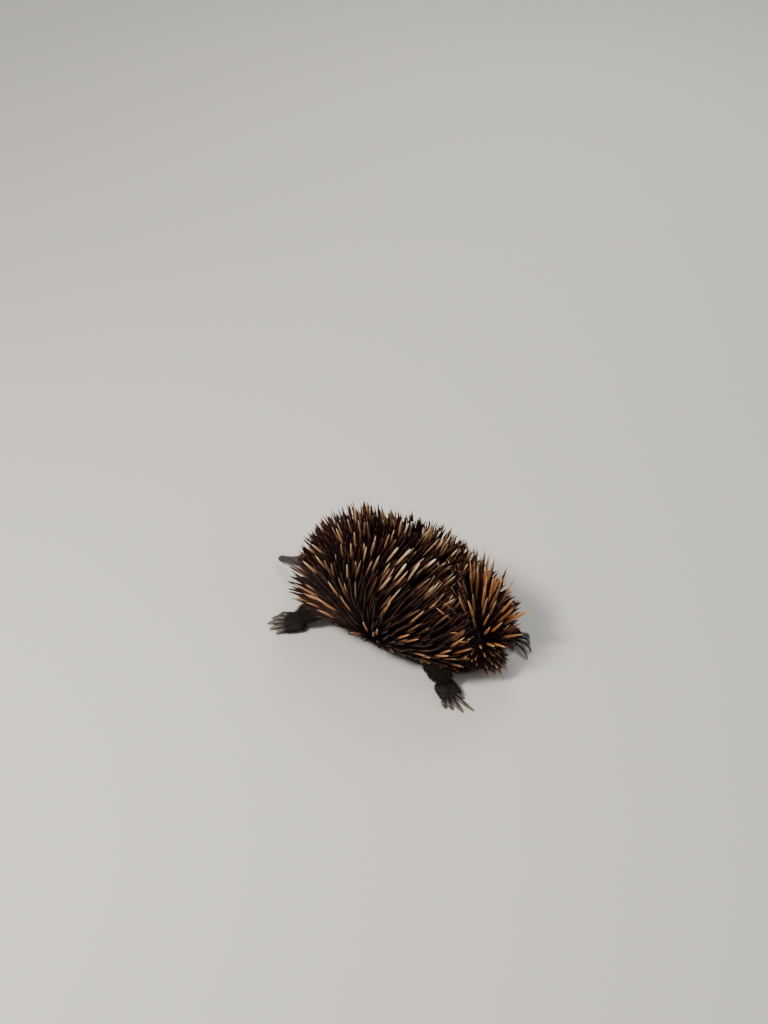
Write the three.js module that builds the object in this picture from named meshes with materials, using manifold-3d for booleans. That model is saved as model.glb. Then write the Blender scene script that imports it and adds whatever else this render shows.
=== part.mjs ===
// A short-beaked echidna at life size, crouched low as it is while it digs itself in: the back is humped,
// the spines stand out all round, the legs are splayed and the beak reaches down to the ground.
// Millimetres, +Z up. The head points to -X and the tail to +X, so the animal's left side faces -Y.
// The origin is the middle of the flat of the belly, which rests on the floor at z = 0.

import * as THREE from "three";
import { mergeVertices } from "three/addons/utils/BufferGeometryUtils.js";
import Module from "manifold-3d";

const wasm = await Module();
wasm.setup();

// Driving sizes
const BODY_LENGTH = 284; // the humped trunk, skin only
const BODY_MIDDLE_X = -2;
const BODY_HALF_WIDTH = 80;
const MIDDLE_LINE_HEIGHT = 58;
const BACK_RISE = 60; // from the trunk's middle line up to the back
const BELLY_DROP = 66; // and down to the belly, which the floor flattens
const SPINE_LENGTH = 52; // on the flanks
const SPINE_RADIUS = 2.2;
const EYE_RADIUS = 4;
const GAP = 0.45; // how far a neighbour is grown before it cuts: over 0.3 between the faces

const { PI, abs, cos, exp, max, min, pow, sign, sin } = Math;
const RAD = PI / 180;
const LEFT = -1;
const RIGHT = 1;
const point = (x, y, z) => new THREE.Vector3(x, y, z);

// Eased step from 0 at low to 1 at high, in either order.
function eased(low, high, v) {
  const u = max(0, min(1, (v - low) / (high - low)));
  return u * u * (3 - 2 * u);
}

// A smooth line through [place, value] pairs, as a function of the place.
function smoothRow(pairs) {
  const places = pairs.map(([place]) => place);
  const values = pairs.map(([, value]) => value);
  const spline = new THREE.CubicInterpolant(places, values, 1);
  return (v) => spline.evaluate(v)[0];
}

// A sine or cosine raised to the power that makes a ring fuller than an ellipse.
const full = (v, fullness) => sign(v) * pow(abs(v), 2 / fullness);

// Solids

// A manifold solid from a closed three.js geometry, with its faces turned out.
function solidFrom(geometry) {
  const bare = geometry.clone();
  bare.deleteAttribute("normal");
  bare.deleteAttribute("uv");
  const merged = mergeVertices(bare, 1e-3);
  const triVerts = new Uint32Array(merged.index.array);
  const vertProperties = new Float32Array(merged.attributes.position.array);
  const make = () => new wasm.Manifold(new wasm.Mesh({ numProp: 3, vertProperties, triVerts }));
  const made = make();
  if (made.volume() > 0) return made;
  for (let i = 0; i < triVerts.length; i += 3) {
    [triVerts[i + 1], triVerts[i + 2]] = [triVerts[i + 2], triVerts[i + 1]];
  }
  return make();
}

// A closed surface place(u, a): u runs from one pole at -1 to the other at 1, and a is the angle round,
// 0 on top. The rows lie closer together towards the poles.
function formed(place, around, lengthwise) {
  const geometry = new THREE.SphereGeometry(1, around, lengthwise);
  const uv = geometry.getAttribute("uv");
  const position = geometry.getAttribute("position");
  for (let i = 0; i < position.count; i += 1) {
    const p = place(-cos(PI * uv.getY(i)), 2 * PI * uv.getX(i));
    position.setXYZ(i, p.x, p.y, p.z);
  }
  return solidFrom(geometry);
}

const joined = (solids) => wasm.Manifold.union(solids);
const cutBy = (solid, cutters) => cutters.reduce((left, cutter) => left.subtract(cutter), solid);

// The largest closed body of a solid: a loose scrap or a sealed hollow is dropped.
const largest = (solid) =>
  solid.decompose().reduce((best, piece) => (piece.volume() > best.volume() ? piece : best));

// A rounded form along a smooth path, such as a limb, a beak or a claw. The rows give half its width and
// half its height from 0 at the path's start to 1 at its end, and bluntness says how late its ends close.
function loftSurface(shape, grow = 0) {
  const { path, halfWidth, halfHeight, bluntness = 4, floor = false } = shape;
  const curve = new THREE.CatmullRomCurve3(path.map((p) => point(...p)));
  const width = smoothRow(halfWidth);
  const height = smoothRow(halfHeight);
  return (u, a) => {
    const v = (u + 1) / 2;
    const forward = curve.getTangent(v);
    const side = point(0, 0, 1).cross(forward).normalize();
    const up = forward.clone().cross(side);
    const cap = pow(max(0, 1 - pow(abs(u), bluntness)), 1 / bluntness);
    const p = curve
      .getPoint(v)
      .addScaledVector(forward, grow * u)
      .addScaledVector(side, (width(v) + grow) * cap * sin(a))
      .addScaledVector(up, (height(v) + grow) * cap * cos(a));
    if (floor) p.z = max(p.z, -grow);
    return p;
  };
}

const loft = (shape, grow = 0) =>
  formed(loftSurface(shape, grow), shape.around ?? 12, shape.lengthwise ?? 10);

// The outward normal of a surface, and the way in which u grows along it.
function layOf(place, u, a) {
  const step = 1e-3;
  const along = place(u + step, a).sub(place(u - step, a)).normalize();
  const round = place(u, a + step).sub(place(u, a - step));
  return { normal: along.clone().cross(round).normalize(), along };
}

const mirrored = ([x, y, z], side) => [x, side * y, z];
const sided = (shape, side) => ({ ...shape, path: shape.path.map((p) => mirrored(p, side)) });

// Trunk: a low hump, with a swelling over each thigh, a shallow groove before it, and a belly that the
// floor flattens.
const TRUNK_FULLNESS = 2.25;
const THIGH = { at: [100, 38, 50], rise: 9, reach: 36 };
const FLANK_GROOVE = { at: [52, 70, 60], depth: 6, reach: 20, stretch: 0.6 };

function trunkPoint(s, a, grow = 0) {
  const taper = pow(max(0, 1 - s * s), 0.4);
  const halfWidth = (BODY_HALF_WIDTH - 9 * s - 5 * s * s + grow) * taper;
  const reach = cos(a) > 0 ? BACK_RISE - 9 * s : BELLY_DROP;
  const middle = MIDDLE_LINE_HEIGHT - 11 * s - 18 * s * s;
  const p = point(
    BODY_MIDDLE_X + (BODY_LENGTH / 2 + grow) * s,
    halfWidth * full(sin(a), TRUNK_FULLNESS),
    middle + (reach + grow) * taper * full(cos(a), TRUNK_FULLNESS),
  );
  for (const side of [LEFT, RIGHT]) {
    const outward = p.clone().sub(point(60, 0, 40)).normalize();
    const fromThigh = p.distanceTo(point(...mirrored(THIGH.at, side)));
    const fromGroove = p.clone().sub(point(...mirrored(FLANK_GROOVE.at, side)));
    fromGroove.multiply(point(1, FLANK_GROOVE.stretch, FLANK_GROOVE.stretch));
    const swell = THIGH.rise * exp(-pow(fromThigh / THIGH.reach, 2));
    const groove = FLANK_GROOVE.depth * exp(-pow(fromGroove.length() / FLANK_GROOVE.reach, 2));
    p.addScaledVector(outward, swell - groove);
  }
  p.z = max(p.z, -grow);
  return p;
}

const TRUNK_GRID = { around: 40, lengthwise: 26 };
const trunk = (grow = 0) =>
  formed((s, a) => trunkPoint(s, a, grow), TRUNK_GRID.around, TRUNK_GRID.lengthwise);

// Head and beak: one tapering form, bowed down to the ground, that is parted at the root of the beak.
const SNOUT = {
  path: [
    [-92, 0, 64],
    [-122, 0, 58],
    [-150, 0, 46],
    [-174, 0, 33],
    [-200, 0, 19],
    [-228, 0, 9],
  ],
  halfWidth: [[0, 30], [0.25, 33], [0.42, 29], [0.52, 20], [0.62, 11.5], [0.75, 8], [0.9, 6], [1, 5.2]],
  halfHeight: [[0, 30], [0.25, 31], [0.42, 27], [0.52, 20], [0.62, 12], [0.75, 7.4], [0.9, 5.2], [1, 4.6]],
  around: 18,
  lengthwise: 22,
  bluntness: 9,
};
const BEAK_ROOT = point(-180, 0, 30);
const BEAK_DIRECTION = point(-0.88, 0, -0.48).normalize();
const HALF_CUT = 0.2;

const EYE = { at: [-172, 13.2, 38.5], facing: [-0.36, 0.9, 0.24], radius: EYE_RADIUS, play: 0.35 };
const LID = { ring: 4.5, thickness: 1.3, long: 1.12, high: 0.86 };
const EAR = { at: [-150, 27, 50], facing: [-0.22, 0.93, 0.28] };
const EAR_RIM = [5.5, 9.5, 5];
const EAR_HOLLOW = [2.4, 6.6, 7];
const MOUTH = { length: 14, drop: 1.1, opening: 0.7, lip: 1.3, lipSwell: 0.5 };
const NOSTRIL = { behindTip: 6, apart: 2.4, size: [2, 1, 1.6] };

// Turns a geometry made round its own Z axis to face a given way, with its Y axis as upright as it can be.
function facing(geometry, [x, y, z], at) {
  const outward = point(x, y, z).normalize();
  const sideways = point(0, 0, 1).cross(outward).normalize();
  const upward = outward.clone().cross(sideways);
  const turn = new THREE.Matrix4().makeBasis(sideways, upward, outward);
  return solidFrom(geometry.applyMatrix4(turn.setPosition(...at)));
}

const egg = ([x, y, z]) => new THREE.SphereGeometry(1, 12, 8).scale(x, y, z);

function buildEye(side) {
  const at = mirrored(EYE.at, side);
  const way = mirrored(EYE.facing, side);
  const lid = new THREE.TorusGeometry(LID.ring, LID.thickness, 6, 14).scale(LID.long, LID.high, 1);
  const wide = EYE.radius + EYE.play;
  return {
    eye: facing(egg([EYE.radius, EYE.radius, EYE.radius]), way, at),
    lid: facing(lid, way, at),
    socket: facing(egg([wide, wide, wide]), way, at),
  };
}

function buildEar(side) {
  const at = mirrored(EAR.at, side);
  const way = mirrored(EAR.facing, side);
  const hollow = facing(egg(EAR_HOLLOW), way, at);
  return { cup: facing(egg(EAR_RIM), way, at).subtract(hollow), hollow };
}

// The beak ends in a small mouth, a slit between two slight lips, with the nostrils on top.
function buildBeak(whole) {
  const tip = point(...SNOUT.path[SNOUT.path.length - 1]);
  const forward = point(-0.94, 0, -0.33).normalize();
  const across = point(0, 1, 0);
  const upward = forward.clone().cross(across).multiplyScalar(-1);
  const slab = (thickness, long) => {
    const middle = tip.clone().addScaledVector(upward, -MOUTH.drop).addScaledVector(forward, 2 - long / 2);
    const turn = new THREE.Matrix4().makeBasis(forward, across, upward);
    return solidFrom(new THREE.BoxGeometry(long, 30, thickness).applyMatrix4(turn.setPosition(middle)));
  };
  const lips = loft(SNOUT, MOUTH.lipSwell).intersect(slab(2 * MOUTH.lip, MOUTH.length + 2));
  const nostrils = [LEFT, RIGHT].map((side) => {
    const at = tip.clone().addScaledVector(forward, -NOSTRIL.behindTip).addScaledVector(upward, 4.6);
    at.y = side * NOSTRIL.apart;
    const turn = new THREE.Matrix4().makeBasis(forward, across, upward);
    return solidFrom(egg(NOSTRIL.size).applyMatrix4(turn.setPosition(at)));
  });
  return largest(cutBy(whole.add(lips), [slab(MOUTH.opening, MOUTH.length + 2), ...nostrils]));
}

// Legs: each runs out of the trunk, down to a broad foot that rests flat on the floor and ends in a fan of
// claws. They are straight and spade-like in front. Behind they curve back, and the second is the longest.
const FORELEG = {
  path: [[-84, 42, 38], [-103, 63, 32], [-117, 79, 21], [-124, 87, 13]],
  halfWidth: [[0, 19], [0.4, 18], [0.75, 15], [1, 14]],
  halfHeight: [[0, 19], [0.4, 18], [0.75, 15], [1, 13]],
};
const FOREFOOT = {
  path: [[-116, 82, 10], [-129, 90, 8], [-141, 97, 6]],
  halfWidth: [[0, 15], [0.4, 19], [1, 20]],
  halfHeight: [[0, 11], [0.4, 9], [1, 6]],
  bluntness: 5,
  floor: true,
};
const HINDLEG = {
  path: [[72, 40, 36], [91, 57, 28], [104, 68, 18], [109, 72, 13]],
  halfWidth: [[0, 23], [0.4, 21], [0.75, 17], [1, 14]],
  halfHeight: [[0, 23], [0.4, 21], [0.75, 16], [1, 13]],
};
const HINDFOOT = {
  path: [[104, 69, 10], [119, 76, 8], [132, 82, 6]],
  halfWidth: [[0, 14], [0.5, 17], [1, 17]],
  halfHeight: [[0, 11], [0.5, 8], [1, 6]],
  bluntness: 5,
  floor: true,
};
// The right hind leg is stretched further back than the left one.
const HINDLEG_BACK = { ...HINDLEG, path: [[76, 40, 36], [102, 54, 28], [118, 60, 19], [124, 62, 13]] };
const HINDFOOT_BACK = { ...HINDFOOT, path: [[119, 62, 10], [135, 60, 8], [150, 57, 6]] };
const FORE_CLAWS = { lengths: [17, 25, 28, 25, 17], spread: 8, step: 7.4, width: 3.7, height: 2.5, bow: 0 };
const HIND_CLAWS = { lengths: [10, 34, 27, 18, 13], spread: 14, step: 6, width: 2.9, height: 2.4, bow: 4 };
const CLAW_RUN = [[0, 6], [0.3, 7], [0.7, 5.5], [1, 1.2]]; // share of the length, height above the floor
const CLAW_SINK = 9;
const CLAW_STAGGER = 1.5; // how far each claw roots behind its inner neighbour
const CLAW_TIP = 0.9;

function buildClaws(foot, claws, side) {
  const [from, , toe] = foot.path.map((p) => point(...p));
  const forward = toe.clone().sub(from).setZ(0).normalize();
  const across = point(-forward.y, forward.x, 0).multiplyScalar(side);
  const middle = (claws.lengths.length - 1) / 2;
  return claws.lengths.map((length, i) => {
    const place = i - middle;
    const way = forward.clone().applyAxisAngle(point(0, 0, 1), side * place * claws.spread * RAD);
    const root = toe.clone().addScaledVector(across, place * claws.step);
    root.addScaledVector(way, -abs(place) * CLAW_STAGGER);
    const path = CLAW_RUN.map(([share, height]) => {
      const out = share === 0 ? -CLAW_SINK : share * length;
      const bend = 4 * share * (1 - share) * claws.bow;
      return root.clone().addScaledVector(way, out).addScaledVector(across, bend).setZ(height).toArray();
    });
    return loft({
      path,
      halfWidth: [[0, claws.width], [0.5, claws.width], [0.8, claws.width * 0.6], [1, CLAW_TIP]],
      halfHeight: [[0, claws.height], [0.5, claws.height], [0.8, claws.height * 0.6], [1, CLAW_TIP]],
      around: 5,
      lengthwise: 5,
      bluntness: 6,
    });
  });
}

// The tail: a short stub, bent a little to the left.
const TAIL = {
  path: [[112, -2, 34], [138, -7, 27], [160, -14, 20]],
  halfWidth: [[0, 26], [0.5, 20], [1, 9]],
  halfHeight: [[0, 22], [0.5, 16], [1, 7]],
  bluntness: 3,
  around: 12,
  lengthwise: 10,
};

// Spines

// A scattered number, the same each time the part is built.
THREE.MathUtils.seededRandom(7);
const between = (low, high) => low + (high - low) * THREE.MathUtils.seededRandom();

const SPINE_SINK = 24; // how deep a root sits below the skin
const SPINE_SHOULDER = 0.62; // a spine keeps its thickness this far, then tapers to its tip
const FLATTEST = 0.32; // the least that a spine rises from the skin, for 1 along it
const YIELDING = [0, 0.4, 0.8];
const SPACE_IN_NODE = 0.3;
const SPACE_BETWEEN_NODES = 0.6;

// The star of spines round the tail's root, a little left of the middle. It reaches up from its middle to
// its crest, and ends at a side that faces the left flank.
const STAR = { at: point(132, -14, 61), crest: point(103, 20, 80), radius: 37, spread: 74, reach: 24 };
const STAR_AXIS = point(0.4, -0.52, 0.75).normalize();
const STAR_UPWARD = point(-0.395, 0.586, 0.707);
const STAR_SIDE = { way: point(-0.829, -0.559, 0), at: 13, slope: 0.6 };
const STAR_LINE = new THREE.Line3(STAR.at, STAR.crest);

// How far a root lies outside the star: beyond its radius from the line between its middle and its crest,
// or beyond its side, whichever is more.
function beyondStar(at) {
  const off = at.clone().sub(STAR.at);
  const nearest = STAR_LINE.closestPointToPoint(at, true, point(0, 0, 0));
  const side = STAR_SIDE.at + STAR_SIDE.slope * max(0, off.dot(STAR_UPWARD));
  return max(at.distanceTo(nearest) - STAR.radius, off.dot(STAR_SIDE.way) - side);
}

// The fan: spines tilt forward in proportion to their distance ahead of an upright row, and back by an
// amount that settles behind it.
const UPRIGHT_ROW = { back: -50, flank: -12 };
const BACK_FAN = { ahead: 190, tilt: 0.62, reach: 25 };
const FLANK_FAN = { ahead: 26, tilt: 1.05, reach: 45 };
const MOST_TILT = { forward: -1.6, back: 2.2 };

// Where one way of lying turns to another: in degrees round from the ridge, or in shares of the trunk's
// half length behind its middle.
const ONTO_FLANK = [48, 92];
const ONTO_LOW_FLANK = [78, 115];
const OVER_RIDGE = [-12, 28];
const ONTO_NECK = [-0.45, -0.85];
const ONTO_BACK = [-0.45, 0.15];

const tiltIn = (fan, offRow, share) =>
  min(0, offRow) / fan.ahead + fan.tilt * share * (1 - exp(-max(0, offRow) / fan.reach));

// Which way a spine on the trunk points. It stands up and tilts in its fan, spreads sideways in front and
// low down, and sways over the back behind. In the star it points away from the star's middle, the more so
// the further out it roots.
function trunkSpineWay({ at, u: s, a }) {
  const low = eased(...ONTO_FLANK, abs(a) / RAD);
  const under = eased(...ONTO_LOW_FLANK, abs(a) / RAD);
  const front = eased(...ONTO_NECK, s);
  const rear = eased(...ONTO_BACK, s);
  const offRow = at.x - UPRIGHT_ROW.back - (UPRIGHT_ROW.flank - UPRIGHT_ROW.back) * low;
  const backTilt = tiltIn(BACK_FAN, offRow, 1 - 0.5 * eased(...OVER_RIDGE, a / RAD));
  const flankTilt = tiltIn(FLANK_FAN, offRow, 1 + 0.45 * under);
  const tilt = backTilt * (1 - low) + flankTilt * low;
  const offRidge = sign(a) * eased(4, 36, abs(at.y));
  const way = point(
    max(MOST_TILT.forward, min(MOST_TILT.back, tilt)) - 0.35 * front,
    offRidge * (0.6 * front + 0.25 * low * (1 - front) + 0.8 * under) + rear * (0.22 - 0.26 * sin(a)),
    1 - 0.35 * under,
  ).normalize();
  if (beyondStar(at) >= 0) return way;

  const off = at.clone().sub(STAR.at);
  const outward = off.addScaledVector(STAR_AXIS, -off.dot(STAR_AXIS));
  const spread = STAR.spread * (1 - exp(-outward.length() / STAR.reach)) * RAD;
  return outward.normalize().multiplyScalar(sin(spread)).addScaledVector(STAR_AXIS, cos(spread));
}

const SHORTER_ON_SHOULDERS = 9;
const LONGER_ON_RUMP = 9;
const FACE_SHORT = { at: point(-150, 30, 48), reach: 34, share: 0.6 };
const STAR_RIM = { reach: 24, share: 0.68 };
const BELOW_STAR_SHORT = 0.62;

// How long a spine on the trunk is: shorter over the shoulders, low on the flank, beside the face, below the
// star's middle and where the flank meets the star.
function trunkSpineLength({ at, u: s }) {
  const gap = beyondStar(at);
  const fromLevel = at.clone().sub(STAR.at).dot(STAR_UPWARD);
  const below = gap < 10 ? BELOW_STAR_SHORT * eased(2, -18, fromLevel) : 0;
  const rim = gap < 0 ? 0 : STAR_RIM.share * exp(-pow(gap / STAR_RIM.reach, 2)) * eased(4, -22, at.y);
  const low = 0.5 * eased(45, 14, at.z) * eased(-0.85, -0.4, s);
  const fromFace = point(at.x, abs(at.y), at.z).distanceTo(FACE_SHORT.at);
  const face = FACE_SHORT.share * exp(-pow(fromFace / FACE_SHORT.reach, 2));
  const top = eased(60, 95, at.z);
  const onRump = gap < 0 ? 1 : top * eased(-0.35, 0.15, s);
  const full = SPINE_LENGTH - SHORTER_ON_SHOULDERS * top * eased(0, -0.55, s) + LONGER_ON_RUMP * onRump;
  return full * (1 - low) * (1 - face) * (1 - below) * (1 - rim);
}

// One spine: round in the real coat, three-sided here. It swells from a root deep in the flesh to its
// shoulder, tapers from there to its tip, and is a little bowed.
function makeSpine({ skin, way, sink, length, radius, roll, bow }) {
  const whole = sink + length;
  const shoulder = sink + SPINE_SHOULDER * length;
  const outline = [[0, 0], [radius, shoulder], [0, whole]];
  const lathe = new THREE.LatheGeometry(outline.map(([r, y]) => new THREE.Vector2(r, y)), 3, roll);
  const turn = new THREE.Quaternion().setFromUnitVectors(point(0, 1, 0), way);
  const position = lathe.getAttribute("position");
  const p = point(0, 0, 0);
  for (let i = 0; i < position.count; i += 1) {
    p.fromBufferAttribute(position, i);
    const bend = bow * (p.y / whole) * (1 - p.y / whole);
    p.y -= sink;
    p.applyQuaternion(turn).add(skin);
    position.setXYZ(i, p.x, p.y, p.z + bend);
  }
  return solidFrom(lathe);
}

// The least distance between two straight spines.
function spineDistance(one, other) {
  const a = new THREE.Line3(one.skin, one.tip);
  const b = new THREE.Line3(other.skin, other.tip);
  return Math.sqrt(a.distanceSqToLine3(b));
}

const placed = [];

// Whether a spine stands clear of all that was placed before it.
function isClear(spine, spacing) {
  return placed.every((other) => {
    if (spine.skin.distanceTo(other.skin) < spacing) return false;
    const space = other.node === spine.node ? SPACE_IN_NODE : SPACE_BETWEEN_NODES;
    return spineDistance(spine, other) >= spine.radius + other.radius + space;
  });
}

// Grows one spine from its root. Where it would touch a neighbour it stands up straighter and is shorter,
// and where that doesn't help it is left out.
function growSpine(node, root, way, length, { sink, spacing, obstacles }) {
  const roll = between(0, 2 * PI);
  const bow = between(0, 6);
  const stoutness = between(0.92, 1.1);
  for (const yielding of YIELDING) {
    const turned = way.clone().lerp(root.normal, yielding);
    turned.addScaledVector(root.normal, max(0, FLATTEST - turned.dot(root.normal))).normalize();
    const reach = length * (1 - 0.4 * yielding);
    const spine = {
      node,
      skin: root.at,
      tip: root.at.clone().addScaledVector(turned, reach),
      way: turned,
      sink,
      length: reach,
      radius: SPINE_RADIUS * min(1, 0.45 + reach / 80) * stoutness,
      roll,
      bow,
    };
    if (!isClear(spine, spacing)) continue;
    const solid = makeSpine(spine);
    if (!solid.intersect(obstacles).isEmpty()) continue;
    placed.push(spine);
    return solid;
  }
  return null;
}

const SCATTER = 0.1;
const scattered = (way) =>
  way.add(point(between(-1, 1), between(-1, 1), between(-1, 1)).multiplyScalar(SCATTER)).normalize();

// Places for roots: the middles of the two facets of every four-sided patch of a formed surface, in either
// order, so that a root breaks through one facet only.
function facetRoots(place, { around, lengthwise }) {
  const patches = [];
  const corner = (row, column) => [-cos((PI * row) / lengthwise), (2 * PI * column) / around - PI];
  for (let row = 2; row < lengthwise; row += 1) {
    for (let column = 0; column < around; column += 1) {
      const shared = [corner(row, column), corner(row - 1, column + 1)];
      const thirds = [corner(row, column + 1), corner(row - 1, column)];
      if (between(0, 1) < 0.5) thirds.reverse();
      patches.push(thirds.map((third) => {
        const corners = [...shared, third];
        const at = point(0, 0, 0);
        for (const [u, a] of corners) at.addScaledVector(place(u, a), 1 / 3);
        const u = corners.reduce((sum, [value]) => sum + value / 3, 0);
        const a = corners.reduce((sum, [, value]) => sum + value / 3, 0);
        return { at, u, a, ...layOf(place, u, a) };
      }));
    }
  }
  return patches;
}

// Grows a coat of spines on a node: where(root) says whether one roots there, way(root) where it points.
function growCoat(node, place, grid, { where, way, length, ...rules }) {
  const spines = [];
  for (const patch of facetRoots(place, grid)) {
    for (const root of patch.filter(where)) {
      const full = length(root) * between(0.88, 1.1);
      const solid = growSpine(node, root, scattered(way(root)), full, rules);
      if (!solid) continue;
      spines.push(solid);
      break;
    }
  }
  return spines;
}

// Spines that lie back along a rounded part, each leaning by the same angle from upright.
const leaningBack = (degrees, backwards) => ({ normal, along }) =>
  normal.clone().multiplyScalar(cos(degrees * RAD)).addScaledVector(along, backwards * sin(degrees * RAD));

const LOWEST_ROOT = 15;
const LOWEST_ROW = 120 * RAD; // how far round from the ridge of the back spines grow
const TRUNK_COAT = {
  where: ({ at, a }) => abs(a) < LOWEST_ROW && at.z > LOWEST_ROOT,
  way: trunkSpineWay,
  length: trunkSpineLength,
  sink: SPINE_SINK,
  spacing: 8,
};
const CROWN_COAT = {
  where: ({ at, a }) => abs(a) < 62 * RAD && at.x < -130 && at.x > -160,
  way: leaningBack(35, -1),
  length: () => 20,
  sink: 8,
  spacing: 6,
};
const TAIL_COAT = {
  where: ({ a }) => abs(a) < 112 * RAD,
  way: leaningBack(38, 1),
  length: () => 18,
  sink: 9,
  spacing: 7,
};

// Putting the animal together

const part = new THREE.Group();

function addNode(name, solid, look) {
  const mesh = solid.getMesh();
  const geometry = new THREE.BufferGeometry();
  const positions = new Float32Array(mesh.vertProperties);
  geometry.setAttribute("position", new THREE.BufferAttribute(positions, 3));
  geometry.setIndex(new THREE.BufferAttribute(new Uint32Array(mesh.triVerts), 1));
  geometry.computeVertexNormals();
  const node = new THREE.Mesh(geometry, new THREE.MeshStandardMaterial({ metalness: 0, ...look }));
  node.name = name;
  part.add(node);
}

const SPINY = { color: 0x5a4128, roughness: 0.55 };
const FURRY = { color: 0x33241a, roughness: 0.9 };
const BEAK = { color: 0x2c2725, roughness: 0.6 };
const CLAWED = { color: 0x4c4038, roughness: 0.6 };
const GLOSSY = { color: 0x0b0908, roughness: 0.08 };

const trunkCutter = trunk(GAP);
const snout = loft(SNOUT);
const snoutCutter = loft(SNOUT, GAP);
const tailCutter = loft(TAIL, GAP);
const beakNormal = BEAK_DIRECTION.toArray();
const faceNormal = BEAK_DIRECTION.clone().negate().toArray();
const beakOffset = BEAK_DIRECTION.dot(BEAK_ROOT);
const legCutters = [];
const eyes = [];
const ears = [];

for (const [sideName, side] of [["left", LEFT], ["right", RIGHT]]) {
  eyes.push({ name: `eye_${sideName}`, ...buildEye(side) });
  ears.push({ name: `ear_${sideName}`, ...buildEar(side) });
  const hindLeg = side === LEFT ? HINDLEG : HINDLEG_BACK;
  const hindFoot = side === LEFT ? HINDFOOT : HINDFOOT_BACK;
  const legs = [
    ["fore", sided(FORELEG, side), sided(FOREFOOT, side), FORE_CLAWS],
    ["hind", sided(hindLeg, side), sided(hindFoot, side), HIND_CLAWS],
  ];
  for (const [name, leg, foot, claws] of legs) {
    const legCutter = loft(leg, GAP);
    const footSolid = joined([loft(foot), ...buildClaws(foot, claws, side)]);
    addNode(`${name}leg_${sideName}`, largest(loft(leg).subtract(trunkCutter)), FURRY);
    addNode(`${name}foot_${sideName}`, largest(cutBy(footSolid, [trunkCutter, legCutter])), CLAWED);
    legCutters.push(legCutter, loft(foot, GAP));
  }
}

const face = snout
  .subtract(trunkCutter)
  .trimByPlane(faceNormal, HALF_CUT - beakOffset)
  .add(joined(eyes.map(({ lid }) => lid)));
const pits = [...eyes.map(({ socket }) => socket), ...ears.map(({ hollow }) => hollow)];
addNode("beak", buildBeak(snout.trimByPlane(beakNormal, beakOffset + HALF_CUT)), BEAK);
for (const { name, eye } of eyes) addNode(name, eye, GLOSSY);
for (const { name, cup } of ears) addNode(name, largest(cup.subtract(snoutCutter)), FURRY);

const features = joined([...ears.map(({ cup }) => cup), ...eyes.map(({ lid }) => lid)]);
const flesh = trunk();
const besideTrunk = joined([snoutCutter, tailCutter, features, ...legCutters]).subtract(flesh);
const besideHead = trunkCutter.add(features);
const besideTail = joined([trunkCutter, ...legCutters]);

const trunkSpines = growCoat("torso", trunkPoint, TRUNK_GRID, { ...TRUNK_COAT, obstacles: besideTrunk });
addNode("torso", largest(joined([flesh, ...trunkSpines])), SPINY);

const crownSpines = growCoat("head", loftSurface(SNOUT), SNOUT, { ...CROWN_COAT, obstacles: besideHead });
addNode("head", largest(joined([cutBy(face, pits), ...crownSpines])), FURRY);

const tailSpines = growCoat("tail", loftSurface(TAIL), TAIL, { ...TAIL_COAT, obstacles: besideTail });
addNode("tail", largest(joined([loft(TAIL).subtract(trunkCutter), ...tailSpines])), SPINY);

export default part;
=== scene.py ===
import math

import bmesh
import bpy
import numpy as np
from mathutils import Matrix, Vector


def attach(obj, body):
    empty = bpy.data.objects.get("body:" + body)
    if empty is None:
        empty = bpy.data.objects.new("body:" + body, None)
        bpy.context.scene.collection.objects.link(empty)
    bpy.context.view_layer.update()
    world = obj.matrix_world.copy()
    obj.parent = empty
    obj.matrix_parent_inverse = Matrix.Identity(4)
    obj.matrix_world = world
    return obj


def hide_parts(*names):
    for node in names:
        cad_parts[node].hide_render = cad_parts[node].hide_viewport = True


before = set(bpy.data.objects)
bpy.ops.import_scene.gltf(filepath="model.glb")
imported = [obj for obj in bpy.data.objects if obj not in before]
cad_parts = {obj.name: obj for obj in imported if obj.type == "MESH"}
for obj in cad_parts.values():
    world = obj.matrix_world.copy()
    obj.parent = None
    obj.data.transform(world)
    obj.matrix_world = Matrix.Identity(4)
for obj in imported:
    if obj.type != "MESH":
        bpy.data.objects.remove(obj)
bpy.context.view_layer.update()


# The view. The photographer stands behind the animal's left hip and looks down on it at 45 degrees,
# from so far that a pixel covers 1.4 mm of it. The middle of the animal is low and right of the
# photograph's middle.
PHOTO_WIDTH = 768
PHOTO_HEIGHT = 1024
AZIMUTH = math.radians(34)
ELEVATION = math.radians(45)
DISTANCE = 2.15
PIXEL = 0.0014
SENSOR = 36
ANIMAL_MIDDLE = Vector((0, 0, 0.082))
MIDDLE_ACROSS_PIXEL = 406
MIDDLE_DOWN_PIXEL = 584


def direction_to(azimuth, elevation):
    """The unit vector from the animal towards an eye at that azimuth and height above the horizon."""
    level = math.cos(elevation)
    return Vector((math.sin(azimuth) * level, -math.cos(azimuth) * level, math.sin(elevation)))


def put_object(name, data):
    """A new object of the scene that shows this data."""
    thing = bpy.data.objects.new(name, data)
    bpy.context.scene.collection.objects.link(thing)
    return thing


to_camera = direction_to(AZIMUTH, ELEVATION)
focal_pixels = DISTANCE / PIXEL
sight = Vector((
    MIDDLE_ACROSS_PIXEL - PHOTO_WIDTH / 2,
    PHOTO_HEIGHT / 2 - MIDDLE_DOWN_PIXEL,
    -focal_pixels,
))
camera = put_object("camera", bpy.data.cameras.new("camera"))
camera.data.sensor_width = SENSOR
camera.data.lens = SENSOR * focal_pixels / PHOTO_HEIGHT
camera.location = ANIMAL_MIDDLE + to_camera * DISTANCE
camera.rotation_mode = "QUATERNION"
straight = (-to_camera).to_track_quat("-Z", "Y")
camera.rotation_quaternion = straight @ sight.rotation_difference(Vector((0, 0, -1)))
bpy.context.scene.camera = camera


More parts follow.
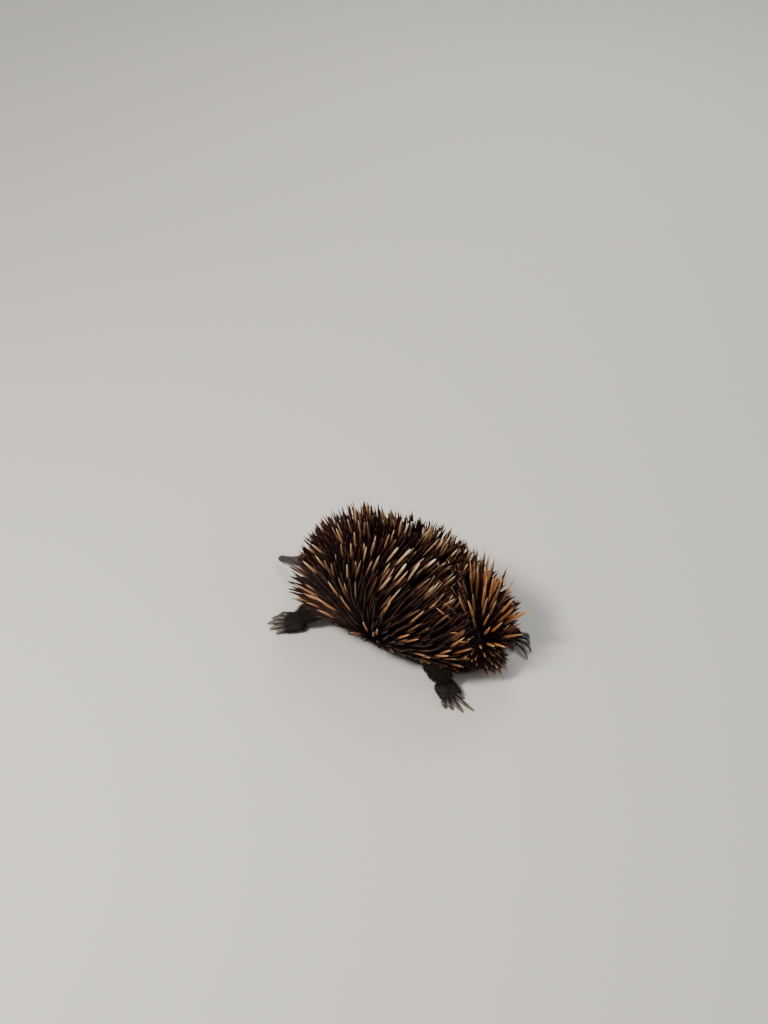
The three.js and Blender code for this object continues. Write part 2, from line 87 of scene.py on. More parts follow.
# The studio: a plain pale floor, a broad key light from the left where the photograph's sun stands,
# a weaker fill from the right, and a strip behind that edges the spines.
FLOOR_HALF = 40.0
# The floor turns from the near colour to the paler far one: painted light, to make up for the lamps' light
# falling off far away.
FLOOR_COLOR = (0.62, 0.60, 0.57, 1)
FAR_FLOOR_COLOR = (0.98, 0.975, 0.96, 1)
FLOOR_TURNS_FROM = 1.1
FLOOR_TURNS_TO = 5.0
FLOOR_ROUGHNESS = 0.75
FLOOR_SHINE = 0.15
WALL_COLOR = (0.82, 0.81, 0.795, 1)
WALL_STRENGTH = 0.44
LAMPS = [
    # name, azimuth, elevation, distance, size, watts, colour
    ("key", -28, 52, 2.2, 0.55, 62, (1.0, 0.95, 0.88)),
    ("fill", 105, 34, 2.6, 1.6, 14, (0.90, 0.95, 1.0)),
    ("rim", 200, 40, 2.4, 0.8, 22, (1.0, 0.97, 0.93)),
]

# The colour sockets of a mix node: two that go in and the one that comes out.
MIX_A = 6
MIX_B = 7
MIX_OUT = 2


def set_inputs(node, values):
    """Gives a node's inputs their values."""
    for socket, value in values.items():
        node.inputs[socket].default_value = value


def put_node(tree, kind, values=None, **settings):
    """A new shader node with its settings and the values of its inputs."""
    node = tree.nodes.new(kind)
    for name, value in settings.items():
        setattr(node, name, value)
    set_inputs(node, values or {})
    return node


def link_all(tree, *links):
    """Links nodes. Each link is given as a node, its output, the next node and its input."""
    for source, output, target, entry in links:
        tree.links.new(source.outputs[output], target.inputs[entry])


def new_material(name, values):
    """A new material whose shader's inputs have these values, its nodes, and its shader."""
    material = bpy.data.materials.new(name)
    material.use_nodes = True
    shader = material.node_tree.nodes["Principled BSDF"]
    set_inputs(shader, values)
    return material, material.node_tree, shader


def floor_material():
    """A dull pale floor that turns paler with its distance from the animal: painted light that makes up for
    the lamps' light falling off far away.
    """
    material, tree, shader = new_material(
        "pale_floor", {"Roughness": FLOOR_ROUGHNESS, "Specular IOR Level": FLOOR_SHINE})
    place = put_node(tree, "ShaderNodeTexCoord")
    how_far = put_node(tree, "ShaderNodeVectorMath", operation="LENGTH")
    turning = put_node(
        tree, "ShaderNodeMapRange", {"From Min": FLOOR_TURNS_FROM, "From Max": FLOOR_TURNS_TO},
        interpolation_type="SMOOTHSTEP")
    tone = put_node(tree, "ShaderNodeMix", {MIX_A: FLOOR_COLOR, MIX_B: FAR_FLOOR_COLOR}, data_type="RGBA")
    link_all(
        tree,
        (place, "Object", how_far, 0),
        (how_far, "Value", turning, "Value"),
        (turning, "Result", tone, "Factor"),
        (tone, MIX_OUT, shader, "Base Color"),
    )
    return material


floor_mesh = bpy.data.meshes.new("floor")
floor_mesh.from_pydata(
    [(x * FLOOR_HALF, y * FLOOR_HALF, 0) for x, y in ((-1, -1), (1, -1), (1, 1), (-1, 1))],
    [],
    [(0, 1, 2, 3)],
)
floor = put_object("floor", floor_mesh)
floor_mesh.materials.append(floor_material())

sky = bpy.data.worlds.new("studio")
sky.use_nodes = True
set_inputs(sky.node_tree.nodes["Background"], {"Color": WALL_COLOR, "Strength": WALL_STRENGTH})
bpy.context.scene.world = sky

for name, azimuth, elevation, distance, size, watts, colour in LAMPS:
    lamp = put_object(name, bpy.data.lights.new(name, "AREA"))
    lamp.data.shape = "DISK"
    lamp.data.size = size
    lamp.data.energy = watts
    lamp.data.color = colour
    from_animal = direction_to(math.radians(azimuth), math.radians(elevation))
    lamp.location = ANIMAL_MIDDLE + from_animal * distance
    lamp.rotation_mode = "QUATERNION"
    lamp.rotation_quaternion = (-from_animal).to_track_quat("-Z", "Y")


# The skin: one closed hide over trunk, head, beak, legs, feet and tail. Each is a rounded form, and
# they are melted into one surface, smoothed where they meet, and then carved round eyes, ears and
# mouth. It lies under the fur, so it is drawn in by the fur's depth where the animal is furred.
TRUNK_MIDDLE_X = -0.002
TRUNK_HALF_LENGTH = 0.142
TRUNK_HALF_WIDTH = 0.080
WIDTH_FALL = 0.009
WIDTH_BOW = 0.005
RIDGE_RISE = 0.060
RIDGE_FALL = 0.009
BELLY_DROP = 0.066
MIDDLE_LINE = 0.058
MIDDLE_FALL = 0.011
MIDDLE_BOW = 0.018
FULLNESS = 2.25
END_POWER = 0.4
HIP_MIDDLE = (0.060, 0, 0.040)
THIGH = (0.100, 0.038, 0.050)
THIGH_SWELL = dict(height=0.009, reach=0.036)
FLANK_HOLLOW = (0.052, 0.070, 0.060)
FLANK_DEPTH = dict(height=0.006, reach=0.020)
FLANK_STRETCH = (1, 0.6, 0.6)
TRUNK_INSET = 0.001
SOLE_LEVEL = 0.0003

SNOUT_PATH = [
    (-0.092, 0, 0.064), (-0.122, 0, 0.058), (-0.150, 0, 0.046),
    (-0.174, 0, 0.033), (-0.200, 0, 0.019), (-0.228, 0, 0.009),
]
SNOUT_PLACES = [0, 0.25, 0.42, 0.52, 0.62, 0.75, 0.9, 1]
SNOUT_WIDTHS = [0.030, 0.033, 0.029, 0.020, 0.0115, 0.008, 0.006, 0.0052]
SNOUT_HEIGHTS = [0.030, 0.031, 0.027, 0.020, 0.012, 0.0074, 0.0052, 0.0046]
FACE_FUR_DEPTH = 0.0028
BEAK_BARE_FROM = 0.60
BEAK_BARE_BLEND = 0.12

LEG_FUR_DEPTH = 0.003
FOOT_FUR_DEPTH = 0.0015
FORE_LEG = ([(-0.084, 0.042, 0.038), (-0.103, 0.063, 0.032), (-0.117, 0.079, 0.021), (-0.124, 0.087, 0.013)],
            [0.019, 0.018, 0.015, 0.014], [0.019, 0.018, 0.015, 0.013])
FORE_FOOT = ([(-0.116, 0.082, 0.010), (-0.129, 0.090, 0.008), (-0.141, 0.097, 0.006)],
             [0.015, 0.019, 0.020], [0.011, 0.009, 0.006])
HIND_LEG_LEFT = ([(0.072, 0.040, 0.036), (0.091, 0.057, 0.028), (0.104, 0.068, 0.018), (0.109, 0.072, 0.013)],
                 [0.023, 0.021, 0.017, 0.014], [0.023, 0.021, 0.016, 0.013])
HIND_FOOT_LEFT = ([(0.104, 0.069, 0.010), (0.119, 0.076, 0.008), (0.132, 0.082, 0.006)],
                  [0.014, 0.017, 0.017], [0.011, 0.008, 0.006])
HIND_LEG_RIGHT = (
    [(0.076, 0.040, 0.036), (0.102, 0.054, 0.028), (0.118, 0.060, 0.019), (0.124, 0.062, 0.013)],
    *HIND_LEG_LEFT[1:],
)
HIND_FOOT_RIGHT = ([(0.119, 0.062, 0.010), (0.135, 0.060, 0.008), (0.150, 0.057, 0.006)],
                   *HIND_FOOT_LEFT[1:])
TAIL = ([(0.112, -0.002, 0.034), (0.138, -0.007, 0.027), (0.160, -0.014, 0.020)],
        [0.026, 0.020, 0.009], [0.022, 0.016, 0.007])
LEFT = -1
RIGHT = 1
LEGS = [
    # side, leg, foot, whether it is a fore leg
    (LEFT, FORE_LEG, FORE_FOOT, True),
    (RIGHT, FORE_LEG, FORE_FOOT, True),
    (LEFT, HIND_LEG_LEFT, HIND_FOOT_LEFT, False),
    (RIGHT, HIND_LEG_RIGHT, HIND_FOOT_RIGHT, False),
]
TOE_COUNT = 5
TOE_STAGGER = 0.0015
TOE_SINK = 0.012
TOE_RISE = 0.001
TOE_WIDTHS = [0.0040, 0.0042, 0.0036]
TOE_HEIGHTS = [0.0046, 0.0048, 0.0040]
FORE_TOES = dict(step=0.0074, spread=8, reach=0.004)
HIND_TOES = dict(step=0.0060, spread=14, reach=0.003)

# How blunt the ends of each form are: 2 is round, and more is flatter.
SNOUT_BLUNT = 9
LEG_BLUNT = 4.0
FOOT_BLUNT = 5
TOE_BLUNT = 3
TAIL_BLUNT = 3
# Rows along each form and columns round it.
TRUNK_GRID = (80, 96)
SNOUT_GRID = (90, 48)
LIMB_GRID = (30, 36)
TOE_GRID = (14, 18)

SKIN_VOXEL = 0.002
SMOOTHING_ROUNDS = 14
SMOOTHING_PULLS = (0.5, -0.52)
FINE_AHEAD_OF = -0.130
FINE_BLEND = 0.004
FINE_CUTS = 2
FINE_SMOOTHING_ROUNDS = 5


def eased(low, high, v):
    """Rises smoothly from 0 at low to 1 at high, level at both ends; low may be the larger."""
    u = np.clip((v - low) / (high - low), 0, 1)
    return u * u * (3 - 2 * u)


def unit(v):
    """Vectors of length one."""
    return v / np.maximum(np.linalg.norm(v, axis=-1, keepdims=True), 1e-12)


def fold(distance, height, reach, place=0, power=2):
    """A fold or swelling at a place: height exp(-((distance - place) / reach)^power)."""
    return height * np.exp(-(((distance - place) / reach) ** power))


def along_line(places, values, v):
    """Values on a smooth line: a cubic between each two places, whose slope at a place is the slope
    between its two neighbours."""
    places = np.asarray(places, float)
    values = np.asarray(values, float).reshape(len(places), -1)
    slopes = np.gradient(values, axis=0)
    slopes[1:-1] = (values[2:] - values[:-2]) / (places[2:] - places[:-2])[:, None]
    slopes[0] = (values[1] - values[0]) / (places[1] - places[0])
    slopes[-1] = (values[-1] - values[-2]) / (places[-1] - places[-2])
    v = np.asarray(v, float)
    i = np.clip(np.searchsorted(places, v, side="right") - 1, 0, len(places) - 2)
    gap = (places[i + 1] - places[i])[..., None]
    t = (v[..., None] - places[i][..., None]) / gap
    return (
        (2 * t**3 - 3 * t**2 + 1) * values[i]
        + (t**3 - 2 * t**2 + t) * gap * slopes[i]
        + (3 * t**2 - 2 * t**3) * values[i + 1]
        + (t**3 - t**2) * gap * slopes[i + 1]
    )


def full(v):
    """A sine or cosine raised to the power that makes a ring fuller than an ellipse."""
    return np.sign(v) * np.abs(v) ** (2 / FULLNESS)


def mirrored(place, side):
    """A place given for the right side, on the side asked for."""
    return np.array(place, float) * (1, side, 1)


def trunk_middle(s):
    """How high the middle of the trunk lies at s: it falls towards both ends, and most to the rump."""
    return MIDDLE_LINE - MIDDLE_FALL * s - MIDDLE_BOW * s * s


def trunk_point(s, a, grow=0.0):
    """The trunk at s from -1, the chest, to 1, the rump, and a round it from 0 on the ridge: a ring
    fuller than an ellipse whose size falls to nothing at both ends, with a swelling on each thigh,
    a hollow before it, and the floor pressing its belly flat."""
    taper = np.maximum(0, 1 - s * s) ** END_POWER
    half_width = (TRUNK_HALF_WIDTH - WIDTH_FALL * s - WIDTH_BOW * s * s + grow) * taper
    reach = np.where(np.cos(a) > 0, RIDGE_RISE - RIDGE_FALL * s, BELLY_DROP)
    p = np.stack(np.broadcast_arrays(
        TRUNK_MIDDLE_X + (TRUNK_HALF_LENGTH + grow) * s,
        half_width * full(np.sin(a)),
        trunk_middle(s) + (reach + grow) * taper * full(np.cos(a)),
    ), -1)
    for side in (LEFT, RIGHT):
        from_thigh = np.linalg.norm(p - mirrored(THIGH, side), axis=-1)
        from_hollow = np.linalg.norm((p - mirrored(FLANK_HOLLOW, side)) * FLANK_STRETCH, axis=-1)
        swell = fold(from_thigh, **THIGH_SWELL) - fold(from_hollow, **FLANK_DEPTH)
        p = p + unit(p - HIP_MIDDLE) * swell[..., None]
    p[..., 2] = np.maximum(p[..., 2], SOLE_LEVEL - grow)
    return p


def limb_point(path, widths, heights, u, a, blunt, places=None, grow=0.0):
    """A limb at u from -1 to 1 along its path and a round it from 0 on top: an ellipse square to the
    path, with the half width and half height given along it, closing at both ends as
    (1 - |u|^blunt)^(1/blunt)."""
    v = (np.asarray(u, float) + 1) / 2
    steps = np.linspace(0, 1, len(path))
    centre = along_line(steps, path, v)
    forward = unit(along_line(steps, path, v + 1e-3) - along_line(steps, path, v - 1e-3))
    sideways = unit(np.cross((0, 0, 1), forward))
    upward = np.cross(forward, sideways)
    places = np.linspace(0, 1, len(widths)) if places is None else places
    half_width = along_line(places, widths, v)[..., 0] + grow
    half_height = along_line(places, heights, v)[..., 0] + grow
    cap = np.maximum(0, 1 - np.abs(u) ** blunt) ** (1 / blunt)
    return (
        centre
        + forward * (grow * u)[..., None]
        + sideways * (half_width * cap * np.sin(a))[..., None]
        + upward * (half_height * cap * np.cos(a))[..., None]
    )


def snout_point(u, a):
    """Head and beak in one: a form that narrows from the skull to the beak and bows to the ground.
    It is drawn in under the fur as far as the bare beak."""
    furred = 1 - eased(BEAK_BARE_FROM - BEAK_BARE_BLEND, BEAK_BARE_FROM, (u + 1) / 2)
    return limb_point(
        SNOUT_PATH, SNOUT_WIDTHS, SNOUT_HEIGHTS, u, a, SNOUT_BLUNT, SNOUT_PLACES, -FACE_FUR_DEPTH * furred)


def tail_point(u, a):
    """The stub of the tail."""
    return limb_point(*TAIL, u, a, TAIL_BLUNT, grow=-TRUNK_INSET)


def tube_faces(rings, sides):
    """The faces of a closed tube whose points are its rings, one after the other, and then its two
    ends: quads between the rings and a fan of triangles on each end."""
    row, column = np.meshgrid(np.arange(rings - 1), np.arange(sides), indexing="ij")
    near = row * sides + column
    beside = row * sides + (column + 1) % sides
    ring = np.arange(sides)
    after = (ring + 1) % sides
    last = (rings - 1) * sides
    end = np.full(sides, rings * sides)
    return np.stack([near, beside, beside + sides, near + sides], -1).reshape(-1, 4), np.concatenate([
        np.stack([end, after, ring], -1),
        np.stack([end + 1, last + ring, last + after], -1),
    ])


def closed_shell(place, rows, columns):
    """A closed surface place(u, a): rows of points from pole to pole, closer together towards the
    poles as -cos of even steps, and a fan of triangles on each pole. Gives points, quads, triangles."""
    u = -np.cos(np.pi * np.arange(1, rows) / rows)
    a = 2 * np.pi * np.arange(columns) / columns
    grid_u, grid_a = np.meshgrid(u, a, indexing="ij")
    rings = place(grid_u, grid_a).reshape(-1, 3)
    poles = place(np.array([-1.0, 1.0]), np.zeros(2))
    return np.concatenate([rings, poles]), *tube_faces(rows - 1, columns)


def make_piece(name, points, quads, triangles=None):
    """A new object at the origin whose mesh holds these points and faces, shaded smooth."""
    triangles = np.zeros((0, 3), int) if triangles is None else triangles
    corners = np.concatenate([quads.ravel(), triangles.ravel()]).astype(np.int32)
    sizes = np.concatenate([np.full(len(quads), 4), np.full(len(triangles), 3)])
    starts = np.concatenate([[0], np.cumsum(sizes)[:-1]]).astype(np.int32)
    mesh = bpy.data.meshes.new(name)
    mesh.vertices.add(len(points))
    mesh.vertices.foreach_set("co", points.astype(np.float32).ravel())
    mesh.loops.add(len(corners))
    mesh.loops.foreach_set("vertex_index", corners)
    mesh.polygons.add(len(sizes))
    mesh.polygons.foreach_set("loop_start", starts)
    mesh.update(calc_edges=True)
    mesh.shade_smooth()
    return put_object(name, mesh)


def together(shells):
    """Several (points, quads, triangles) as one, with their point numbers moved on."""
    firsts = np.cumsum([0] + [len(points) for points, _, _ in shells[:-1]])
    return (
        np.concatenate([points for points, _, _ in shells]),
        np.concatenate([quads + first for first, (_, quads, _) in zip(firsts, shells)]),
        np.concatenate([triangles + first for first, (_, _, triangles) in zip(firsts, shells)]),
    )


def foot_rays(foot, side, toes):
    """For each toe of a foot, from the inner one to the outer one: its root on the foot's front edge
    and the level way it points. Then the way across the foot to its outer side."""
    path = [mirrored(p, side) for p in foot[0]]
    forward = unit((path[2] - path[0]) * (1, 1, 0))
    across = np.array([-forward[1], forward[0], 0]) * side
    place = np.arange(TOE_COUNT) - (TOE_COUNT - 1) / 2
    turn = np.radians(place * toes["spread"])
    way = forward * np.cos(turn)[:, None] + across * np.sin(turn)[:, None]
    drawn_back = way * (np.abs(place) * TOE_STAGGER)[:, None]
    root = path[2] + across * (place * toes["step"])[:, None] - drawn_back
    return root, way, across


def smoothed(points, edges, rounds, share=1):
    """Points drawn half way to the mean of their neighbours and then pushed back by a little more,
    in turn, which irons out creases and keeps the size. share says how much of it each point takes."""
    counts = np.bincount(edges.ravel(), minlength=len(points))[:, None]
    for _ in range(rounds):
        for pull in SMOOTHING_PULLS:
            total = np.empty_like(points)
            for axis in range(3):
                total[:, axis] = np.bincount(
                    edges.ravel(), weights=points[edges[:, ::-1].ravel(), axis], minlength=len(points)
                )
            points = points + pull * share * (total / counts - points)
    return points


def values_of(items, what, width, kind=np.float32):
    """A property of all points, edges or faces as an array with so many numbers for each of them."""
    values = np.empty(len(items) * width, kind)
    items.foreach_get(what, values)
    return values.reshape(-1, width)


def points_of(mesh, what="co"):
    """The places or normals of a mesh's points as an array."""
    return values_of(mesh.vertices, what, 3).astype(float)


def edges_of(mesh):
    """The two point numbers of each edge."""
    return values_of(mesh.edges, "vertices", 2, np.int32)


def put_points(mesh, points):
    """Moves a mesh's points to these places."""
    mesh.vertices.foreach_set("co", points.astype(np.float32).ravel())
    mesh.update()


forms = [
    closed_shell(lambda u, a: trunk_point(u, a, -TRUNK_INSET), *TRUNK_GRID),
    closed_shell(snout_point, *SNOUT_GRID),
    closed_shell(tail_point, *LIMB_GRID),
]
for side, leg, foot, is_fore in LEGS:
    for limb, blunt, fur_depth in ((leg, LEG_BLUNT, LEG_FUR_DEPTH), (foot, FOOT_BLUNT, FOOT_FUR_DEPTH)):
        path = [mirrored(p, side) for p in limb[0]]
        forms.append(closed_shell(
            lambda u, a: limb_point(path, *limb[1:], u, a, blunt, grow=-fur_depth), *LIMB_GRID))
    toes = FORE_TOES if is_fore else HIND_TOES
    for root, way in zip(*foot_rays(foot, side, toes)[:2]):
        path = [root - way * TOE_SINK + (0, 0, TOE_RISE), root, root + way * toes["reach"]]
        forms.append(closed_shell(
            lambda u, a: limb_point(path, TOE_WIDTHS, TOE_HEIGHTS, u, a, TOE_BLUNT), *TOE_GRID))
for points, _, _ in forms:
    points[:, 2] = np.maximum(points[:, 2], SOLE_LEVEL)

rough = make_piece("rough_skin", *together(forms))
melt = rough.modifiers.new("melt", "REMESH")
melt.mode = "VOXEL"
melt.voxel_size = SKIN_VOXEL
skin_mesh = bpy.data.meshes.new_from_object(rough.evaluated_get(bpy.context.evaluated_depsgraph_get()))
bpy.data.objects.remove(rough)
skin_mesh.name = "skin"
skin = put_object("skin", skin_mesh)
put_points(skin_mesh, smoothed(points_of(skin_mesh), edges_of(skin_mesh), SMOOTHING_ROUNDS))

# Head and fore feet are seen closest, so their faces are split finer and ironed once more.
fine = bmesh.new()
fine.from_mesh(skin_mesh)
ahead = [edge for edge in fine.edges if all(corner.co.x < FINE_AHEAD_OF for corner in edge.verts)]
bmesh.ops.subdivide_edges(fine, edges=ahead, cuts=FINE_CUTS, use_grid_fill=True)
bmesh.ops.triangulate(fine, faces=[face for face in fine.faces if len(face.verts) > 4])
fine.to_mesh(skin_mesh)
fine.free()
skin_points = points_of(skin_mesh)
is_fine = 1 - eased(FINE_AHEAD_OF - FINE_BLEND, FINE_AHEAD_OF, skin_points[:, :1])
skin_points = smoothed(skin_points, edges_of(skin_mesh), FINE_SMOOTHING_ROUNDS, is_fine)
put_points(skin_mesh, skin_points)

# Carving. Each mark moves the skin along its own normal: in for the eye sockets, ear canals, nostrils
# and the mouth's line, out for the lids' folds, the ears' rims and the lips.
EYE_PLACE = (-0.1715, 0.0128, 0.0385)
EYE_FACING = (-0.36, 0.90, 0.24)
EYE_RADIUS = 0.0041
SOCKET = dict(height=-0.0030, reach=0.0052, power=4)
BROW = dict(height=0.0011, reach=0.0014, place=0.0072)
EAR_PLACE = (-0.150, 0.0265, 0.050)
EAR_FACING = (-0.22, 0.93, 0.28)
EAR_HALF_WIDTH = 0.0042
EAR_HALF_HEIGHT = 0.0085
EAR_NEAR = dict(height=1, reach=0.010, power=4)
EAR_RIM = dict(height=0.0024, reach=0.38, place=1.15)
EAR_HOLE = dict(height=-0.0050, reach=0.72, power=4)
BEAK_TIP = np.array(SNOUT_PATH[-1])
BEAK_FORWARD = unit(np.array((-0.94, 0, -0.33)))
BEAK_UPWARD = np.array((BEAK_FORWARD[2], 0, -BEAK_FORWARD[0]))
MOUTH_AHEAD_OF = -0.19
MOUTH_CORNER = (0.011, 0.014)
MOUTH_DROP = 0.0012
MOUTH_LINE = dict(height=-0.0011, reach=0.00045)
LIP = dict(height=0.0005, reach=0.0008, place=0.0014)
NOSTRIL_BEHIND_TIP = 0.0058
NOSTRIL_ABOVE_TIP = 0.0040
NOSTRIL_APART = 0.0022
NOSTRIL_SLANT = 0.6
NOSTRIL_PIT = dict(height=-0.0013, reach=0.0009)
NOSTRIL_RIM = dict(height=0.0004, reach=0.0007, place=0.0019)
WRINKLED = (-0.176, -0.186)
WRINKLES_TO = -0.222
WRINKLE_HEIGHT = 0.00016
WRINKLE_SPACING = 0.0026
WRINKLE_SWAY = 900
BEAK_HALF_WIDTH = 0.03
BARE_BEAK = (-0.176, -0.190)
FURRED_SOLE = (0.001, 0.004)


def facing_axes(facing, side):
    """Sideways, upward and outward axes of a feature that faces a given way on one side of the head."""
    outward = unit(mirrored(facing, side))
    sideways = unit(np.cross((0, 0, 1), outward))
    return sideways, np.cross(outward, sideways), outward


def ear_place(p, side):
    """Points as seen from an ear: their distance from its middle across its face, 1 on its edge, and
    their offset from it."""
    sideways, upward, _ = facing_axes(EAR_FACING, side)
    off = p - mirrored(EAR_PLACE, side)
    return np.hypot(off @ sideways / EAR_HALF_WIDTH, off @ upward / EAR_HALF_HEIGHT), off


def skin_marks(p):
    """How far each point of the skin is moved out: the sum of the folds round each feature."""
    move = np.zeros(len(p))
    for side in (LEFT, RIGHT):
        from_eye = np.linalg.norm(p - mirrored(EYE_PLACE, side), axis=1)
        move += fold(from_eye, **SOCKET)
        move += fold(from_eye, **BROW)
        ring, off = ear_place(p, side)
        near = fold(off @ facing_axes(EAR_FACING, side)[2], **EAR_NEAR)
        move += fold(ring, **EAR_RIM) * near
        move += fold(ring, **EAR_HOLE) * near
        nostril = (
            BEAK_TIP - BEAK_FORWARD * NOSTRIL_BEHIND_TIP + BEAK_UPWARD * NOSTRIL_ABOVE_TIP
            + (0, side * NOSTRIL_APART, 0)
        )
        slant = np.abs((p - nostril) @ BEAK_FORWARD) * NOSTRIL_SLANT
        from_nostril = np.hypot(np.linalg.norm(np.cross(p - nostril, BEAK_FORWARD), axis=1), slant)
        move += fold(from_nostril, **NOSTRIL_PIT)
        move += fold(from_nostril, **NOSTRIL_RIM)
    back = (BEAK_TIP - p) @ BEAK_FORWARD
    height = (p - BEAK_TIP) @ BEAK_UPWARD + MOUTH_DROP
    in_mouth = (1 - eased(*MOUTH_CORNER, back)) * (p[:, 0] < MOUTH_AHEAD_OF)
    move += fold(height, **MOUTH_LINE) * in_mouth
    move += fold(np.abs(height), **LIP) * in_mouth
    on_beak = eased(*WRINKLED, p[:, 0]) * (1 - in_mouth) * (p[:, 0] > WRINKLES_TO)
    waves = np.sin(2 * np.pi * back / WRINKLE_SPACING)
    move += WRINKLE_HEIGHT * on_beak * waves * (0.4 + 0.6 * np.sin(back * WRINKLE_SWAY))
    return move


skin_points = skin_points + points_of(skin_mesh, "normal") * skin_marks(skin_points)[:, None]
skin_points[:, 2] = np.maximum(skin_points[:, 2], SOLE_LEVEL)
put_points(skin_mesh, skin_points)
skin_mesh.shade_smooth()


def set_values(piece, name, values):
    """One number for each point of a piece, which its material reads by name."""
    attribute = piece.data.attributes.new(name, "FLOAT", "POINT")
    attribute.data.foreach_set("value", np.asarray(values, np.float32).ravel())


def bareness(p):
    """1 where the skin is bare, on the beak and the soles, to 0 under the fur."""
    beak = eased(*BARE_BEAK, p[..., 0]) * (np.abs(p[..., 1]) < BEAK_HALF_WIDTH)
    return np.maximum(beak, 1 - eased(*FURRED_SOLE, p[..., 2]))


set_values(skin, "bare", bareness(skin_points))


def node_group(name, inputs, outputs):
    """A new shader node group and its two end nodes. Its inputs are given with their defaults, its
    outputs with their kinds."""
    group = bpy.data.node_groups.new(name, "ShaderNodeTree")
    for label, default in inputs.items():
        kind = "NodeSocketColor" if isinstance(default, tuple) else "NodeSocketFloat"
        group.interface.new_socket(label, in_out="INPUT", socket_type=kind).default_value = default
    for label, kind in outputs.items():
        group.interface.new_socket(label, in_out="OUTPUT", socket_type=kind)
    return group, group.nodes.new("NodeGroupInput"), group.nodes.new("NodeGroupOutput")


def grain_group():
    """Grain: noise on the object's own coordinates, given as a darkening of a colour and as a height."""
    group, start, end = node_group(
        "grain", {"Color": (0.5, 0.5, 0.5, 1), "Scale": 200, "Darkening": 0.3},
        {"Color": "NodeSocketColor", "Height": "NodeSocketFloat"})
    place = put_node(group, "ShaderNodeTexCoord")
    noise = put_node(group, "ShaderNodeTexNoise", {"Detail": 4})
    shade = put_node(group, "ShaderNodeMapRange", {"From Min": 0.35, "From Max": 0.65, "To Max": 1})
    lightest = put_node(group, "ShaderNodeMath", {0: 1}, operation="SUBTRACT")
    mix = put_node(group, "ShaderNodeMix", {"Factor": 1}, data_type="RGBA", blend_type="MULTIPLY")
    link_all(
        group,
        (place, "Object", noise, "Vector"),
        (start, "Scale", noise, "Scale"),
        (noise, "Fac", shade, "Value"),
        (start, "Darkening", lightest, 1),
        (lightest, "Value", shade, "To Min"),
        (start, "Color", mix, MIX_A),
        (shade, "Result", mix, MIX_B),
        (mix, MIX_OUT, end, "Color"),
        (noise, "Fac", end, "Height"),
    )
    return group


GRAIN = grain_group()
HIDE_COLOR = (0.020, 0.014, 0.011, 1)
BEAK_COLOR = (0.034, 0.029, 0.028, 1)
HIDE_GRAIN = {"Scale": 700, "Darkening": 0.45}
HIDE_ROUGHNESS = 0.85
BEAK_ROUGHNESS = 0.42
PEBBLES = {"Strength": 0.5, "Distance": 0.0004}


def hide_material(name):
    """Furred hide, dark and dull, that turns to the finely pebbled, slightly shiny grey skin of the
    beak and the soles."""
    material, tree, shader = new_material(name, {})
    bare = put_node(tree, "ShaderNodeAttribute", attribute_name="bare")
    tone = put_node(tree, "ShaderNodeMix", {MIX_A: HIDE_COLOR, MIX_B: BEAK_COLOR}, data_type="RGBA")
    grain = put_node(tree, "ShaderNodeGroup", HIDE_GRAIN, node_tree=GRAIN)
    gloss = put_node(tree, "ShaderNodeMapRange", {"To Min": HIDE_ROUGHNESS, "To Max": BEAK_ROUGHNESS})
    bump = put_node(tree, "ShaderNodeBump", PEBBLES)
    link_all(
        tree,
        (bare, "Fac", tone, "Factor"),
        (tone, MIX_OUT, grain, "Color"),
        (grain, "Color", shader, "Base Color"),
        (bare, "Fac", gloss, "Value"),
        (gloss, "Result", shader, "Roughness"),
        (grain, "Height", bump, "Height"),
        (bump, "Normal", shader, "Normal"),
    )
    return material


skin_mesh.materials.append(hide_material("hide"))
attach(skin, "root")
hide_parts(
    "torso", "head", "beak", "ear_left", "ear_right", "tail",
    *[f"{limb}_{side}" for limb in ("foreleg", "forefoot", "hindleg", "hindfoot")
      for side in ("left", "right")],
)


# Eyes: small, round and nearly black, set low and far forward at the root of the beak. Each is a
# glossy ball with a dark brown iris round a wide pupil, held between two wrinkled lids.
PUPIL_EDGE = 0.45
IRIS_PLACE = 0.53
IRIS_EDGE = 0.80
PUPIL_COLOR = (0.002, 0.002, 0.002, 1)
IRIS_COLOR = (0.022, 0.011, 0.006, 1)
EYE_RIM_COLOR = (0.006, 0.004, 0.003, 1)
EYE_GLOSS = {"Roughness": 0.12, "Specular IOR Level": 0.1, "Coat Weight": 0.7, "Coat Roughness": 0.03}
LID_RING = 0.0043
LID_THICKNESS = 0.0012
UPPER_LID_THICKER = 0.30
LID_CREASE = 0.10
LID_BOW = 0.0006
LID_LONG = 1.14
LID_HIGH = 0.84
LID_BARENESS = 0.8
BALL_GRID = (32, 40)
LID_GRID = (48, 16)


def eye_material():
    """A dark iris round a black pupil under a clear wet coat."""
    material, tree, shader = new_material("eye", EYE_GLOSS)
    rim = put_node(tree, "ShaderNodeAttribute", attribute_name="from_pupil")
    ramp = put_node(tree, "ShaderNodeValToRGB")
    pupil, edge = ramp.color_ramp.elements
    pupil.position = PUPIL_EDGE
    pupil.color = PUPIL_COLOR
    edge.position = IRIS_EDGE
    edge.color = EYE_RIM_COLOR
    ramp.color_ramp.elements.new(IRIS_PLACE).color = IRIS_COLOR
    link_all(tree, (rim, "Fac", ramp, "Fac"), (ramp, "Color", shader, "Base Color"))
    return material


def eye_point(u, a, side):
    """A ball whose poles lie on the line that the eye looks along, the pupil's at u = -1."""
    sideways, upward, outward = facing_axes(EYE_FACING, side)
    level = np.sqrt(np.maximum(0, 1 - u * u))
    return mirrored(EYE_PLACE, side) + EYE_RADIUS * (
        -outward * u[..., None]
        + sideways * (level * np.sin(a))[..., None]
        + upward * (level * np.cos(a))[..., None]
    )


